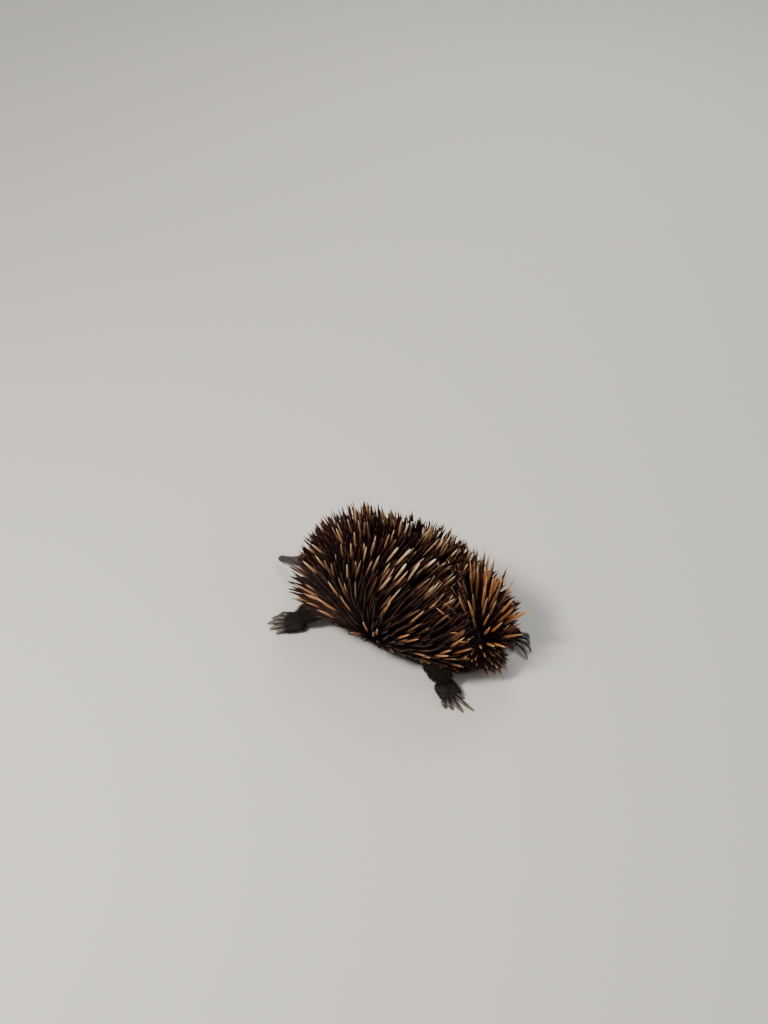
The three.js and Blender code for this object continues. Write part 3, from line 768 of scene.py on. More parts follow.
def lid_point(u, a, side):
    """The lids: a ring bent over the eye, longer than it is high, thicker above than below, whose
    skin is creased round it. u runs round the eye and a round the ring's own section."""
    sideways, upward, outward = facing_axes(EYE_FACING, side)
    turn = np.pi * u
    crease = LID_CREASE * np.sin(3 * a) * np.sin(a) ** 2
    thickness = LID_THICKNESS * (1 + UPPER_LID_THICKER * np.cos(turn)) * (1 + crease)
    ring = LID_RING + thickness * np.cos(a)
    lift = thickness * np.sin(a) - LID_BOW * np.sin(turn) ** 2 + LID_BOW
    return (
        mirrored(EYE_PLACE, side)
        + sideways * (ring * LID_LONG * np.sin(turn))[..., None]
        + upward * (ring * LID_HIGH * np.cos(turn))[..., None]
        + outward * lift[..., None]
    )


def closed_ring(place, rows, columns):
    """A ring place(u, a), closed both ways, as points and quads."""
    grid_u, grid_a = np.meshgrid(
        -1 + 2 * np.arange(rows) / rows, 2 * np.pi * np.arange(columns) / columns, indexing="ij")
    quads, _ = tube_faces(rows + 1, columns)
    return place(grid_u, grid_a).reshape(-1, 3), quads % (rows * columns)


def turned_out(piece):
    """Turns the faces of a closed piece to the outside."""
    work = bmesh.new()
    work.from_mesh(piece.data)
    bmesh.ops.recalc_face_normals(work, faces=work.faces)
    work.to_mesh(piece.data)
    work.free()
    return piece


EYE_LOOK = eye_material()
LID_LOOK = hide_material("lid_skin")
for word, side in (("left", LEFT), ("right", RIGHT)):
    ball = turned_out(make_piece(
        f"eye_ball_{word}", *closed_shell(lambda u, a: eye_point(u, a, side), *BALL_GRID)))
    way = (points_of(ball.data) - mirrored(EYE_PLACE, side)) @ facing_axes(EYE_FACING, side)[2]
    set_values(ball, "from_pupil", np.arccos(np.clip(way / EYE_RADIUS, -1, 1)) / (np.pi / 2))
    ball.data.materials.append(EYE_LOOK)
    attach(ball, "root")
    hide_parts(f"eye_{word}")
    lids = turned_out(make_piece(
        f"lids_{word}", *closed_ring(lambda u, a: lid_point(u, a, side), *LID_GRID)))
    set_values(lids, "bare", np.full(len(lids.data.vertices), LID_BARENESS))
    lids.data.materials.append(LID_LOOK)
    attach(lids, "root")


# Claws: solid horn, set deep in each toe. The fore claws are broad, straight spades for digging. On
# the hind feet they curve back, and the second is long, for combing between the spines.
FORE_CLAWS = dict(lengths=[0.017, 0.025, 0.028, 0.025, 0.017], half_width=0.0037, bow=0.0)
HIND_CLAWS = dict(lengths=[0.010, 0.034, 0.027, 0.018, 0.013], half_width=0.0029, bow=0.004)
CLAW_HALF_HEIGHT = 0.0024
CLAW_SINK = 0.009
CLAW_SHARES = [0, 0.3, 0.7, 1]
CLAW_LEVELS = [0.006, 0.0072, 0.0057, 0.0013]
CLAW_PLACES = [0, 0.5, 0.82, 1]
CLAW_NARROWING = 0.62
CLAW_THINNING = 0.60
CLAW_TIP = 0.0008
CLAW_BLUNT = 7
CLAW_RIDGES = 9
CLAW_RIDGE_HEIGHT = 0.00010
CLAW_TROUGH = 0.9
CLAW_GRID = (22, 18)
CLAW_TONES = ((0.030, 0.022, 0.017), (0.060, 0.046, 0.035), (0.16, 0.125, 0.09))
STRAND_GRAIN = {"Scale": 900, "Darkening": 0.25}
TONE_TURNS = [
    # where it turns, the colour it turns to, and over how much of the strand
    ("Turn", "Middle", 0.22),
    ("Tip Turn", "Tip", 0.16),
]


def claw_point(path, half_width, u, a):
    """A claw along its path: a low arch above and a shallow trough below, with fine ridges along it,
    narrowing to a worn, blunt tip."""
    p = limb_point(
        path,
        [half_width, half_width, half_width * CLAW_NARROWING, CLAW_TIP],
        [CLAW_HALF_HEIGHT, CLAW_HALF_HEIGHT, CLAW_HALF_HEIGHT * CLAW_THINNING, CLAW_TIP],
        u, a, CLAW_BLUNT, CLAW_PLACES, CLAW_RIDGE_HEIGHT * np.cos(CLAW_RIDGES * a),
    )
    below = np.maximum(0, -np.cos(a)) ** 1.5
    p[..., 2] += below * CLAW_HALF_HEIGHT * CLAW_TROUGH * (1 - eased(0.5, 1.0, u))
    return p


def strand_tone_group():
    """A strand's colour along its own length: Root up to Turn, then Middle, then Tip, with a share of
    darkening that differs from strand to strand."""
    group, start, end = node_group(
        "strand_tone",
        {"Root": (0, 0, 0, 1), "Middle": (0.5, 0.5, 0.5, 1), "Tip": (1, 1, 1, 1),
         "Turn": 0.3, "Tip Turn": 0.8, "Variation": 0.3},
        {"Color": "NodeSocketColor"})
    along = put_node(group, "ShaderNodeAttribute", attribute_name="along")
    tint = put_node(group, "ShaderNodeAttribute", attribute_name="tint")
    below, output = start, "Root"
    for turn, upper, softness in TONE_TURNS:
        after = put_node(group, "ShaderNodeMath", {1: softness}, operation="ADD")
        step = put_node(group, "ShaderNodeMapRange", interpolation_type="SMOOTHSTEP")
        mix = put_node(group, "ShaderNodeMix", data_type="RGBA")
        link_all(
            group,
            (start, turn, after, 0),
            (along, "Fac", step, "Value"),
            (start, turn, step, "From Min"),
            (after, "Value", step, "From Max"),
            (step, "Result", mix, "Factor"),
            (below, output, mix, MIX_A),
            (start, upper, mix, MIX_B),
        )
        below, output = mix, MIX_OUT
    darken = put_node(group, "ShaderNodeMath", operation="MULTIPLY")
    share = put_node(group, "ShaderNodeMath", {0: 1}, operation="SUBTRACT")
    shade = put_node(group, "ShaderNodeVectorMath", operation="SCALE")
    link_all(
        group,
        (tint, "Fac", darken, 0),
        (start, "Variation", darken, 1),
        (darken, "Value", share, 1),
        (below, output, shade, 0),
        (share, "Value", shade, "Scale"),
        (shade, "Vector", end, "Color"),
    )
    return group


STRAND_TONE = strand_tone_group()


def strand_material(name, tones, turn, tip_turn, variation, roughness, specular=0.5, pale_tones=None):
    """Horn or hair: the strand's tone under a fine grain, with one roughness. Where there are pale
    tones too, each strand's paleness mixes the two."""

    def tone_of(colours):
        """The strand's tone with these colours at root, middle and tip."""
        values = {label: (*colour, 1) for label, colour in zip(("Root", "Middle", "Tip"), colours)}
        values.update({"Turn": turn, "Tip Turn": tip_turn, "Variation": variation})
        return put_node(tree, "ShaderNodeGroup", values, node_tree=STRAND_TONE)

    material, tree, shader = new_material(name, {"Roughness": roughness, "Specular IOR Level": specular})
    tone, output = tone_of(tones), "Color"
    if pale_tones:
        pale = put_node(tree, "ShaderNodeAttribute", attribute_name="pale")
        mix = put_node(tree, "ShaderNodeMix", data_type="RGBA")
        link_all(
            tree,
            (pale, "Fac", mix, "Factor"),
            (tone, "Color", mix, MIX_A),
            (tone_of(pale_tones), "Color", mix, MIX_B),
        )
        tone, output = mix, MIX_OUT
    grain = put_node(tree, "ShaderNodeGroup", STRAND_GRAIN, node_tree=GRAIN)
    link_all(tree, (tone, output, grain, "Color"), (grain, "Color", shader, "Base Color"))
    return material


CLAW_LOOK = strand_material("claw_horn", CLAW_TONES, 0.2, 0.62, 0.3, 0.38)

for side, leg, foot, is_fore in LEGS:
    claws, toes = (FORE_CLAWS, FORE_TOES) if is_fore else (HIND_CLAWS, HIND_TOES)
    roots, ways, across = foot_rays(foot, side, toes)
    shells, reaches = [], []
    for root, way, length in zip(roots, ways, claws["lengths"]):
        out = np.array([-CLAW_SINK] + [share * length for share in CLAW_SHARES[1:]])
        bend = np.array([4 * share * (1 - share) * claws["bow"] for share in CLAW_SHARES])
        path = root + way * out[:, None] + across * bend[:, None]
        path[:, 2] = CLAW_LEVELS
        shells.append(closed_shell(lambda u, a: claw_point(path, claws["half_width"], u, a), *CLAW_GRID))
        reaches.append((shells[-1][0] - root) @ way / length)
    name = f"{'fore' if is_fore else 'hind'}claws_{'left' if side == LEFT else 'right'}"
    nails = turned_out(make_piece(name, *together(shells)))
    set_values(nails, "along", np.clip(np.concatenate(reaches), 0, 1))
    set_values(nails, "tint", np.repeat(np.linspace(0, 1, TOE_COUNT), len(shells[0][0])))
    nails.data.materials.append(CLAW_LOOK)
    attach(nails, "root")


# Spines: stout hollow hairs of horn, each grown singly from the skin of the back. Most are black-brown,
# and about one in four is golden or cream above a dark root. Some light ones on the middle of the back
# are drawn white and even: a painted highlight, the glint of light along them. They fan out from low on
# each flank, stand up over the back, and spread in a star round the root of the tail.
STAR_PLACE = np.array((0.132, -0.014, 0.061))
STAR_CREST = np.array((0.103, 0.020, 0.080))
STAR_AXIS = unit(np.array((0.40, -0.52, 0.75)))
STAR_UPWARD = np.array((-0.395, 0.586, 0.707))
STAR_FLANKWARD = np.array((-0.829, -0.559, 0))
STAR_RADIUS = 0.037
STAR_SPREAD = 74
STAR_REACH = 0.024
STAR_SIDE = 0.013
STAR_SIDE_SLOPE = 0.60

# Where the coat passes from one lie to the next: in degrees round the trunk from its ridge, as s along
# the trunk, or in metres. Then how much each lie tilts a spine along the body and spreads it sideways.
ONTO_FLANK = (48, 92)
UNDER_FLANK = (78, 115)
OVER_RIDGE = (-12, 28)
RIDGE_EDGE = (0.004, 0.036)
ONTO_NECK = (-0.45, -0.85)
ONTO_BACK = (-0.45, 0.15)
UPRIGHT_AT = -0.050
FLANK_FOCUS_BEHIND = 0.038
BACK_FAN = 0.190
BACK_TILT = 0.62
BACK_TILT_REACH = 0.025
FAR_SIDE_LESS = 0.5
FLANK_FAN = 0.026
FLANK_TILT = 1.05
FLANK_TILT_REACH = 0.045
UNDER_TILT_MORE = 0.45
MOST_TILT = (-1.6, 2.2)
NECK_TILT = 0.35
NECK_SPREAD = 0.60
FLANK_SPREAD = 0.25
UNDER_SPREAD = 0.80
UNDER_DROP = 0.35
SWAY = 0.22
SWAY_BY_SIDE = 0.26
FLATTEST = 0.30

SPINE_LENGTH = 0.052
SHOULDERS = (0, -0.55)
SHOULDERS_SHORTER = 0.009
RUMP = (-0.35, 0.15)
RUMP_LONGER = 0.009
TOP = (0.060, 0.095)
LOW = (0.045, 0.014)
LOW_SHORT = 0.50
BEHIND_NECK = (-0.85, -0.4)
FACE_PLACE = (-0.150, 0.030, 0.048)
FACE_SHORT = dict(height=0.60, reach=0.034)
BELOW_STAR = (0.002, -0.018)
BELOW_STAR_GAP = 0.010
BELOW_STAR_SHORT = 0.62
STAR_RIM_SHORT = dict(height=0.68, reach=0.024)
STAR_RIM_SIDE = (0.004, -0.022)

LOWEST_ROOT = 0.015
FURTHEST_ROUND = 120
SPINE_COUNT = 1950
SPINE_RADIUS = 0.0021
SPINE_STEPS = np.array([-0.12, 0.10, 0.32, 0.52, 0.70, 0.86])
SPINE_SWELL = np.array([0.42, 0.62, 0.88, 1.0, 0.86, 0.50])
BLUNT_STEPS = np.array([-0.12, 0.10, 0.34, 0.62, 0.88, 0.98])
BLUNT_SWELL = np.array([0.42, 0.62, 0.86, 0.98, 0.84, 0.50])
SPINE_SIDES = 7
GOLDEN_SHARE = (math.sqrt(5) - 1) / 2
PATCH = 0.003
rng = np.random.default_rng(11)


def spread_roots(place, count, rows=400, columns=240):
    """u and a of count roots spread evenly over a surface place(u, a): they follow one another along
    it by equal areas, and each stands a golden share of the way round from the one before."""
    u = -np.cos(np.pi * (np.arange(rows) + 0.5) / rows)
    a = -np.pi + 2 * np.pi * (np.arange(columns) + 0.5) / columns
    grid_u, grid_a = np.meshgrid(u, a, indexing="ij")
    d = 1e-4
    by_u = place(np.clip(grid_u + d, -1, 1), grid_a) - place(np.clip(grid_u - d, -1, 1), grid_a)
    by_a = place(grid_u, grid_a + d) - place(grid_u, grid_a - d)
    area = np.linalg.norm(np.cross(by_u, by_a), axis=-1) * np.gradient(u)[:, None]
    run = np.cumsum(area.sum(1))
    chosen_u = np.interp((np.arange(count) + 0.5) / count * run[-1], run, u)
    round_sum = np.cumsum(area, axis=1)
    round_share = round_sum / round_sum[:, -1:]
    row = np.clip(np.searchsorted(u, chosen_u), 0, rows - 1)
    share = (np.arange(count) * GOLDEN_SHARE) % 1
    column = (round_share[row] < share[:, None]).sum(1)
    chosen_a = a[np.clip(column, 0, columns - 1)]
    return chosen_u, chosen_a + (rng.random(count) - 0.5) * (2 * np.pi / columns)


def lay_of(place, u, a):
    """The outward normal of a surface and the way in which u grows along it."""
    d = 1e-3
    along = unit(place(np.clip(u + d, -1, 1), a) - place(np.clip(u - d, -1, 1), a))
    round_it = place(u, a + d) - place(u, a - d)
    return unit(np.cross(along, round_it)), along


def beyond_star(at):
    """How far a root lies outside the star: its distance from the line between the star's middle and
    its crest, less the star's radius, or how far it lies flankward of the star's side, if that is more."""
    off, run = at - STAR_PLACE, STAR_CREST - STAR_PLACE
    share = np.clip(off @ run / (run @ run), 0, 1)
    side = STAR_SIDE + STAR_SIDE_SLOPE * np.maximum(0, off @ STAR_UPWARD)
    return np.maximum(
        np.linalg.norm(off - share[:, None] * run, axis=1) - STAR_RADIUS, off @ STAR_FLANKWARD - side)


def settling(distance, reach):
    """0 at no distance, rising to 1 as 1 - exp(-distance / reach)."""
    return 1 - np.exp(-distance / reach)


def spine_way(at, s, a):
    """Which way a spine points. From an upright row over the shoulders, which lies further behind on
    the flanks, it tilts forward in proportion to its distance ahead of the row, and back by an
    amount that settles behind it. The fan is tighter on the flanks. It also spreads sideways in
    front and low down, and sways over the back behind. In the star it points away from the star's
    middle, the more so the further out it roots."""
    round_it = np.degrees(np.abs(a))
    flank = eased(*ONTO_FLANK, round_it)
    under = eased(*UNDER_FLANK, round_it)
    neck = eased(*ONTO_NECK, s)
    off_row = at[:, 0] - UPRIGHT_AT - FLANK_FOCUS_BEHIND * flank
    ahead, behind = np.minimum(0, off_row), np.maximum(0, off_row)
    by_side = 1 - FAR_SIDE_LESS * eased(*OVER_RIDGE, np.degrees(a))
    back_tilt = ahead / BACK_FAN + BACK_TILT * by_side * settling(behind, BACK_TILT_REACH)
    flank_tilt = FLANK_TILT * (1 + UNDER_TILT_MORE * under) * settling(behind, FLANK_TILT_REACH)
    tilt = back_tilt * (1 - flank) + (ahead / FLANK_FAN + flank_tilt) * flank
    off_ridge = np.sign(a) * eased(*RIDGE_EDGE, np.abs(at[:, 1]))
    spread = NECK_SPREAD * neck + FLANK_SPREAD * flank * (1 - neck) + UNDER_SPREAD * under
    way = unit(np.stack([
        np.clip(tilt, *MOST_TILT) - NECK_TILT * neck,
        off_ridge * spread + eased(*ONTO_BACK, s) * (SWAY - SWAY_BY_SIDE * np.sin(a)),
        1 - UNDER_DROP * under,
    ], -1))
    off = at - STAR_PLACE
    outward = off - (off @ STAR_AXIS)[:, None] * STAR_AXIS
    lean = np.radians(STAR_SPREAD * settling(np.linalg.norm(outward, axis=1), STAR_REACH))[:, None]
    ray = unit(outward) * np.sin(lean) + STAR_AXIS * np.cos(lean)
    return np.where((beyond_star(at) < 0)[:, None], ray, way)


def spine_length(at, s):
    """How long a spine is: shorter over the shoulders, low on the flank, beside the face, below the
    star's middle and where the flank meets the star, and longest at the top of the rump."""
    gap = beyond_star(at)
    inside = gap < 0
    below = BELOW_STAR_SHORT * eased(*BELOW_STAR, (at - STAR_PLACE) @ STAR_UPWARD) * (gap < BELOW_STAR_GAP)
    rim = fold(gap, **STAR_RIM_SHORT) * ~inside * eased(*STAR_RIM_SIDE, at[:, 1])
    low = LOW_SHORT * eased(*LOW, at[:, 2]) * eased(*BEHIND_NECK, s)
    from_face = np.linalg.norm(at * (1, 0, 1) + np.abs(at) * (0, 1, 0) - FACE_PLACE, axis=1)
    face = fold(from_face, **FACE_SHORT)
    top = eased(*TOP, at[:, 2])
    rump = np.maximum(top * eased(*RUMP, s), inside)
    whole = SPINE_LENGTH - SHOULDERS_SHORTER * top * eased(*SHOULDERS, s) + RUMP_LONGER * rump
    return whole * (1 - low) * (1 - face) * (1 - below) * (1 - rim)


def strands(name, root, way, length, radius, bend, chart, steps, swell, sides, tint):
    """Tapered strands as one piece. A strand's rings are centred at root + length (step way + step^2
    bend), radius times swell wide and square to way, and a point closes each end. Each strand's patch
    of the OFBake map lies at its root's place on the chart."""
    count, rings = len(root), len(steps)
    across = unit(np.cross(way, np.where(np.abs(way[:, 2:]) < 0.9, (0, 0, 1), (1, 0, 0))))
    beside = np.cross(way, across)
    turn = rng.random(count)[:, None] * 2 * np.pi + 2 * np.pi * np.arange(sides) / sides
    rim = across[:, None] * np.cos(turn)[..., None] + beside[:, None] * np.sin(turn)[..., None]
    every_step = np.append(steps, 1.0)
    run = length[:, None, None] * (
        every_step[:, None] * way[:, None] + (every_step**2)[:, None] * bend[:, None])
    centre = root[:, None] + run
    thick = radius[:, None] * swell
    ring_points = centre[:, :-1, None] + rim[:, None] * thick[..., None, None]
    points = np.concatenate(
        [ring_points.reshape(count, -1, 3), centre[:, :1], centre[:, -1:]], axis=1)
    quads, fans = tube_faces(rings, sides)
    firsts = (np.arange(count) * points.shape[1])[:, None, None]
    piece = make_piece(name, points.reshape(-1, 3), (quads + firsts).reshape(-1, 4),
                       (np.roll(fans, -1, axis=1) + firsts).reshape(-1, 3))
    level = np.clip(every_step, 0, 1)
    set_values(piece, "along", np.tile(np.append(np.repeat(level[:-1], sides), (level[0], 1)), count))
    set_values(piece, "tint", np.repeat(tint, points.shape[1]))
    row, column = np.divmod(quads[:, 0], sides)
    quad_map = np.stack([
        np.stack([column, column + 1, column + 1, column], -1) / sides,
        np.stack([level[row], level[row], level[row + 1], level[row + 1]], -1),
    ], -1).reshape(-1, 2)
    side_numbers = np.arange(sides)
    fan_across = np.stack([side_numbers + 1, side_numbers, side_numbers + 0.5], -1) / sides
    fan_map = np.concatenate([
        np.stack([fan_across, np.zeros((sides, 3))], -1),
        np.stack([1 - fan_across, np.tile([level[-2], level[-2], 1], (sides, 1))], -1),
    ]).reshape(-1, 2)
    uv = piece.data.uv_layers.new(name="OFBake")
    places = [chart[:, None] + PATCH * (part - 0.5) for part in (quad_map, fan_map)]
    uv.data.foreach_set("uv", np.concatenate([p.reshape(-1) for p in places]).astype(np.float32))
    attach(piece, "root")
    return piece


def chart_of(u, a):
    """Where a root at u and a of a form lies on that form's chart, from 0 to 1 both ways."""
    return np.stack([a / (2 * np.pi) + 0.5, (u + 1) / 2], -1)


def scattered(way, amount):
    """Directions with a little scatter."""
    return unit(way + rng.normal(0, amount, way.shape))


def raised(way, normal, least):
    """Directions lifted from the skin until they rise off it by at least this share of themselves."""
    return unit(way + normal * np.maximum(0, least - (way * normal).sum(1))[:, None])


# Colours of the horn at root, middle and tip. The dark roots stand partly for the black fur round them and
# are partly painted shade, where the roots sit deep in the coat.
GOLD_TONES = ((0.012, 0.005, 0.003), (0.39, 0.138, 0.040), (0.60, 0.31, 0.135))
CREAM_TONES = ((0.022, 0.012, 0.008), (0.54, 0.335, 0.175), (0.82, 0.67, 0.49))
# The dark tones' red is partly the horn's own warm brown and partly painted light: a red glow bounced up from
# red sand.
DARK_TONES = ((0.016, 0.0045, 0.003), (0.048, 0.0132, 0.0085), (0.15, 0.050, 0.024))
PALE_TOP = (0.060, 0.105)
PALE_TOP_SHARE = 0.52
PALE_NECK = (-0.35, -0.80)
PALE_NECK_SHARE = 0.70
PALE_PAST_STAR = (-0.004, 0.014)
PALE_SCATTER = (0.04, 0.14)


def paleness(at, s):
    """0 on golden spines, low on the flanks and in the star, to 1 on cream ones: over the shoulders,
    along the top of the back and round the neck. It is partly the spines' own colour and partly painted
    light, paler on the top and the front where the light falls on them most."""
    top, neck = eased(*PALE_TOP, at[:, 2]), eased(*PALE_NECK, s)
    shade = np.maximum(PALE_TOP_SHARE * top, PALE_NECK_SHARE * neck) * eased(*PALE_PAST_STAR, beyond_star(at))
    return np.clip(shade + rng.normal(*PALE_SCATTER, len(s)), 0, 1)


GOLD_LOOK = strand_material("golden_spine", GOLD_TONES, 0.30, 0.72, 0.80, 0.36, pale_tones=CREAM_TONES)
DARK_LOOK = strand_material("dark_spine", DARK_TONES, 0.34, 0.82, 0.84, 0.42, 0.28)
MID_BACK_ALONG = (-0.30, 0.22)
MID_BACK_ROUND = (math.radians(13), math.radians(40))
DARK_SHARE = 0.77
FRONT_DARK_SHARE = 0.79
FRONT = (0.2, -0.4)
STAR_DARK_SHARE = 0.28
# Share of the light spines on the middle of the back drawn white, on the left and on the right, and how even
# their tone is: a painted highlight, the glint of light along them.
LEFT_SIDE_HIGHLIGHT_SHARE = 0.80
RIGHT_SIDE_HIGHLIGHT_SHARE = 0.30
HIGHLIGHT_EVENNESS = 0.85
THINNED_SHARE = 0.50
SPINE_SCATTER = 0.06
SPINE_LENGTHS = (0.86, 1.1)
SPINE_STOUTNESS = (0.82, 1.12)
THINNEST = 0.45
STOUT_LENGTH = 0.080
SPINE_BOW = (-0.03, 0.07)
SPINE_BEND = 0.025

s, a = spread_roots(trunk_point, SPINE_COUNT)
at = trunk_point(s, a, -TRUNK_INSET)
normal, _ = lay_of(trunk_point, s, a)
grows = (np.abs(a) < math.radians(FURTHEST_ROUND)) & (at[:, 2] > LOWEST_ROOT)
s, a, at, normal = s[grows], a[grows], at[grows], normal[grows]
on_mid_back = (s > MID_BACK_ALONG[0]) & (s < MID_BACK_ALONG[1])
on_mid_back &= (np.abs(a) > MID_BACK_ROUND[0]) & (np.abs(a) < MID_BACK_ROUND[1])
dark_share = DARK_SHARE + (FRONT_DARK_SHARE - DARK_SHARE) * eased(*FRONT, s)
is_dark = rng.random(len(s)) < np.where(beyond_star(at) < 0, STAR_DARK_SHARE, dark_share)
stays = ~(on_mid_back & is_dark & (rng.random(len(s)) < THINNED_SHARE))
s, a, at, normal = s[stays], a[stays], at[stays], normal[stays]
on_mid_back, is_dark = on_mid_back[stays], is_dark[stays]
way = raised(scattered(spine_way(at, s, a), SPINE_SCATTER), normal, FLATTEST)
length = spine_length(at, s) * rng.uniform(*SPINE_LENGTHS, len(s))
stout = np.minimum(1, THINNEST + length / STOUT_LENGTH) * rng.uniform(*SPINE_STOUTNESS, len(s))
bend = np.array((0, 0, 1)) * rng.uniform(*SPINE_BOW, len(s))[:, None] + rng.normal(0, SPINE_BEND, way.shape)
chart = chart_of(s, a)
pale = paleness(at, s)
# Light spines on the middle of the back, more of them on the left, are drawn in cream with little darkening:
# a painted highlight where light glints along them.
has_painted_highlight = on_mid_back & (rng.random(len(s)) < np.where(a < 0, LEFT_SIDE_HIGHLIGHT_SHARE, RIGHT_SIDE_HIGHLIGHT_SHARE)) & ~is_dark
for name, look, chosen, thick, steps, swell, sameness, whiten in (
    ("golden_spines", GOLD_LOOK, ~is_dark & ~has_painted_highlight, 0.93, SPINE_STEPS, SPINE_SWELL, 1.9, 0),
    ("dark_spines", DARK_LOOK, is_dark, 0.82, SPINE_STEPS, SPINE_SWELL, 0.9, 0),
    ("white_spines", GOLD_LOOK, has_painted_highlight, 0.95, BLUNT_STEPS, BLUNT_SWELL, 1.4, 1),
):
    in_star = beyond_star(at[chosen]) < 0
    darkening = rng.random(chosen.sum()) ** (sameness + in_star) * (1 - HIGHLIGHT_EVENNESS * whiten)
    piece = strands(
        name, at[chosen], way[chosen], length[chosen], SPINE_RADIUS * thick * stout[chosen], bend[chosen],
        chart[chosen], steps, swell, SPINE_SIDES, darkening)
    points_each = len(steps) * SPINE_SIDES + 2
    set_values(piece, "pale", np.repeat(np.maximum(pale[chosen], whiten), points_each))
    piece.data.materials.append(look)


# Crown and tail spines: short ones between the ears that lie back, and a tuft round the tail's stub.
# They are the same horn, each grown singly from the skin.
SMALL_SPINES = [
    dict(name="crown_spines", form=snout_point, count=1500, kept=0.30, span=(-0.167, -0.134), half_angle=70,
         longest=0.020, growth=0.55, thin=0.32, thicker=0.27, flow=-1, lean=42, scatter=0.10,
         least_tint=0, pale=0.5),
    dict(name="tail_spines", form=tail_point, count=150, kept=1, span=(0.138, 1), half_angle=118,
         longest=0.017, growth=0, thin=0.72, thicker=0, flow=1, lean=38, scatter=0.08,
         least_tint=0.4, pale=0.1),
]
CROWN_BLEND = 0.010
SMALL_LENGTHS = (0.8, 1.1)


def leaned(normal, tangent, degrees):
    """The normal leaned over along a tangent by an angle."""
    lean = np.radians(degrees)
    return unit(normal * np.cos(lean) + tangent * np.sin(lean))


def small_spines(name, form, count, kept, span, half_angle, longest, growth, thin, thicker, flow, lean,
                 scatter, least_tint, pale):
    """Short spines on a surface form(u, a), within a span of x and an angle from its top, of which a
    share is kept. Over the span their size rises from 1 - growth to 1 times the longest. They are
    thin + thicker size times as thick as a spine of the back, and they lean along the form (flow 1)
    or against it (flow -1)."""
    u, a = spread_roots(form, count)
    at = form(u, a)
    normal, along = lay_of(form, u, a)
    grows = (at[:, 0] > span[0]) & (at[:, 0] < span[1]) & (np.abs(a) < math.radians(half_angle))
    if kept < 1:
        grows &= rng.random(len(at)) < kept
    u, a, at, normal, along = (part[grows] for part in (u, a, at, normal, along))
    way = scattered(leaned(normal, flow * along, lean), scatter)
    size = eased(span[0], span[1] - CROWN_BLEND, at[:, 0]) * growth + (1 - growth)
    piece = strands(
        name, at, way, longest * size * rng.uniform(*SMALL_LENGTHS, len(at)),
        SPINE_RADIUS * (thin + thicker * size), way * 0, chart_of(u, a), SPINE_STEPS, SPINE_SWELL,
        SPINE_SIDES, rng.uniform(least_tint, 1, len(at)))
    set_values(piece, "pale", np.full(len(piece.data.vertices), pale))
    piece.data.materials.append(GOLD_LOOK)


for kind in SMALL_SPINES:
    small_spines(**kind)


# Fur: coarse black-brown hair that fills the spaces between the spines, and shorter fur over face,
# legs, feet and belly. It grows in thin pointed tufts that lie the way the coat lies.
FUR_STEPS = np.array([-0.06, 0.30, 0.68])
FUR_SWELL = np.array([0.9, 1.0, 0.66])
SHORT_FUR_STEPS = np.array([-0.08, 0.55])
SHORT_FUR_SWELL = np.array([1.0, 0.8])
BACK_TUFTS = 40000
FACE_TUFTS = 15000
LEG_TUFTS = 20000
BELLY_TUFTS = 7000
LIMB_STATIONS = 12
ONTO_HEAD = (-0.140, -0.148)
HEAD_HALF_WIDTH = 0.045
ONTO_LIMB = (1.35, 1.10)
ONTO_BELLY = (0.030, 0.020)
BACK_FUR_LENGTH = 0.024
BACK_FUR_RADIUS = 0.00030
ABOVE_FLOOR = (0.015, 0.045)
BEHIND_FACE = (-0.145, -0.110)
FACE_FUR_SHORTEST = 0.0035
FACE_FUR_LONGER = 0.0075
ONTO_NECK_FUR = (-0.176, -0.146)
FACE_FUR_RADIUS = 0.00017
LIMB_FUR_SHORTEST = 0.0045
LIMB_FUR_LONGER = 0.008
UP_THE_LEG = (0.012, 0.030)
LIMB_FUR_RADIUS = 0.00022
BELLY_FUR_LENGTH = 0.011
BELLY_FUR_RADIUS = 0.00025
STRAIGHT_BACK = np.array((1, 0, 0))
FACE_FUR_RUN = np.array((1, 0, 0.15))
BELLY_FUR_RUN = np.array((1, 0, -0.3))
BACK_FUR_FURTHER = 0.25
FUR_LENGTHS = (0.7, 1.15)
FUR_THICKNESSES = (0.7, 1.2)
FUR_SIDES = 3
FUR_SCATTER = 0.14
FUR_FLATTEST = 0.12
FUR_DROOP = 0.12
FUR_CURL = 0.07
SHORT_FUR_LEAN = 62
BELLY_FUR_LEAN = 60
CLEARANCE = 0.0006
FUR_FREE_EYE = 0.0062
FUR_FREE_EAR = 0.85
EAR_REACH = 0.012
# The back fur's red is partly the hair's own warm brown and partly painted light: a red glow bounced up from
# red sand.
FUR_TONES = ((0.012, 0.0036, 0.0025), (0.025, 0.0075, 0.005), (0.046, 0.015, 0.009))
FACE_TONES = ((0.010, 0.007, 0.006), (0.022, 0.016, 0.012), (0.060, 0.045, 0.032))
LIMB_TONES = ((0.010, 0.006, 0.004), (0.028, 0.017, 0.011), (0.092, 0.055, 0.033))


def unwrap(piece):
    """Lays the piece's faces out flat on a UV map of its own."""
    piece.data.uv_layers.new(name="hide")
    bpy.context.view_layer.objects.active = piece
    piece.select_set(True)
    bpy.ops.object.mode_set(mode="EDIT")
    bpy.ops.mesh.select_all(action="SELECT")
    bpy.ops.uv.smart_project(angle_limit=math.radians(66), island_margin=0.002)
    bpy.ops.object.mode_set(mode="OBJECT")


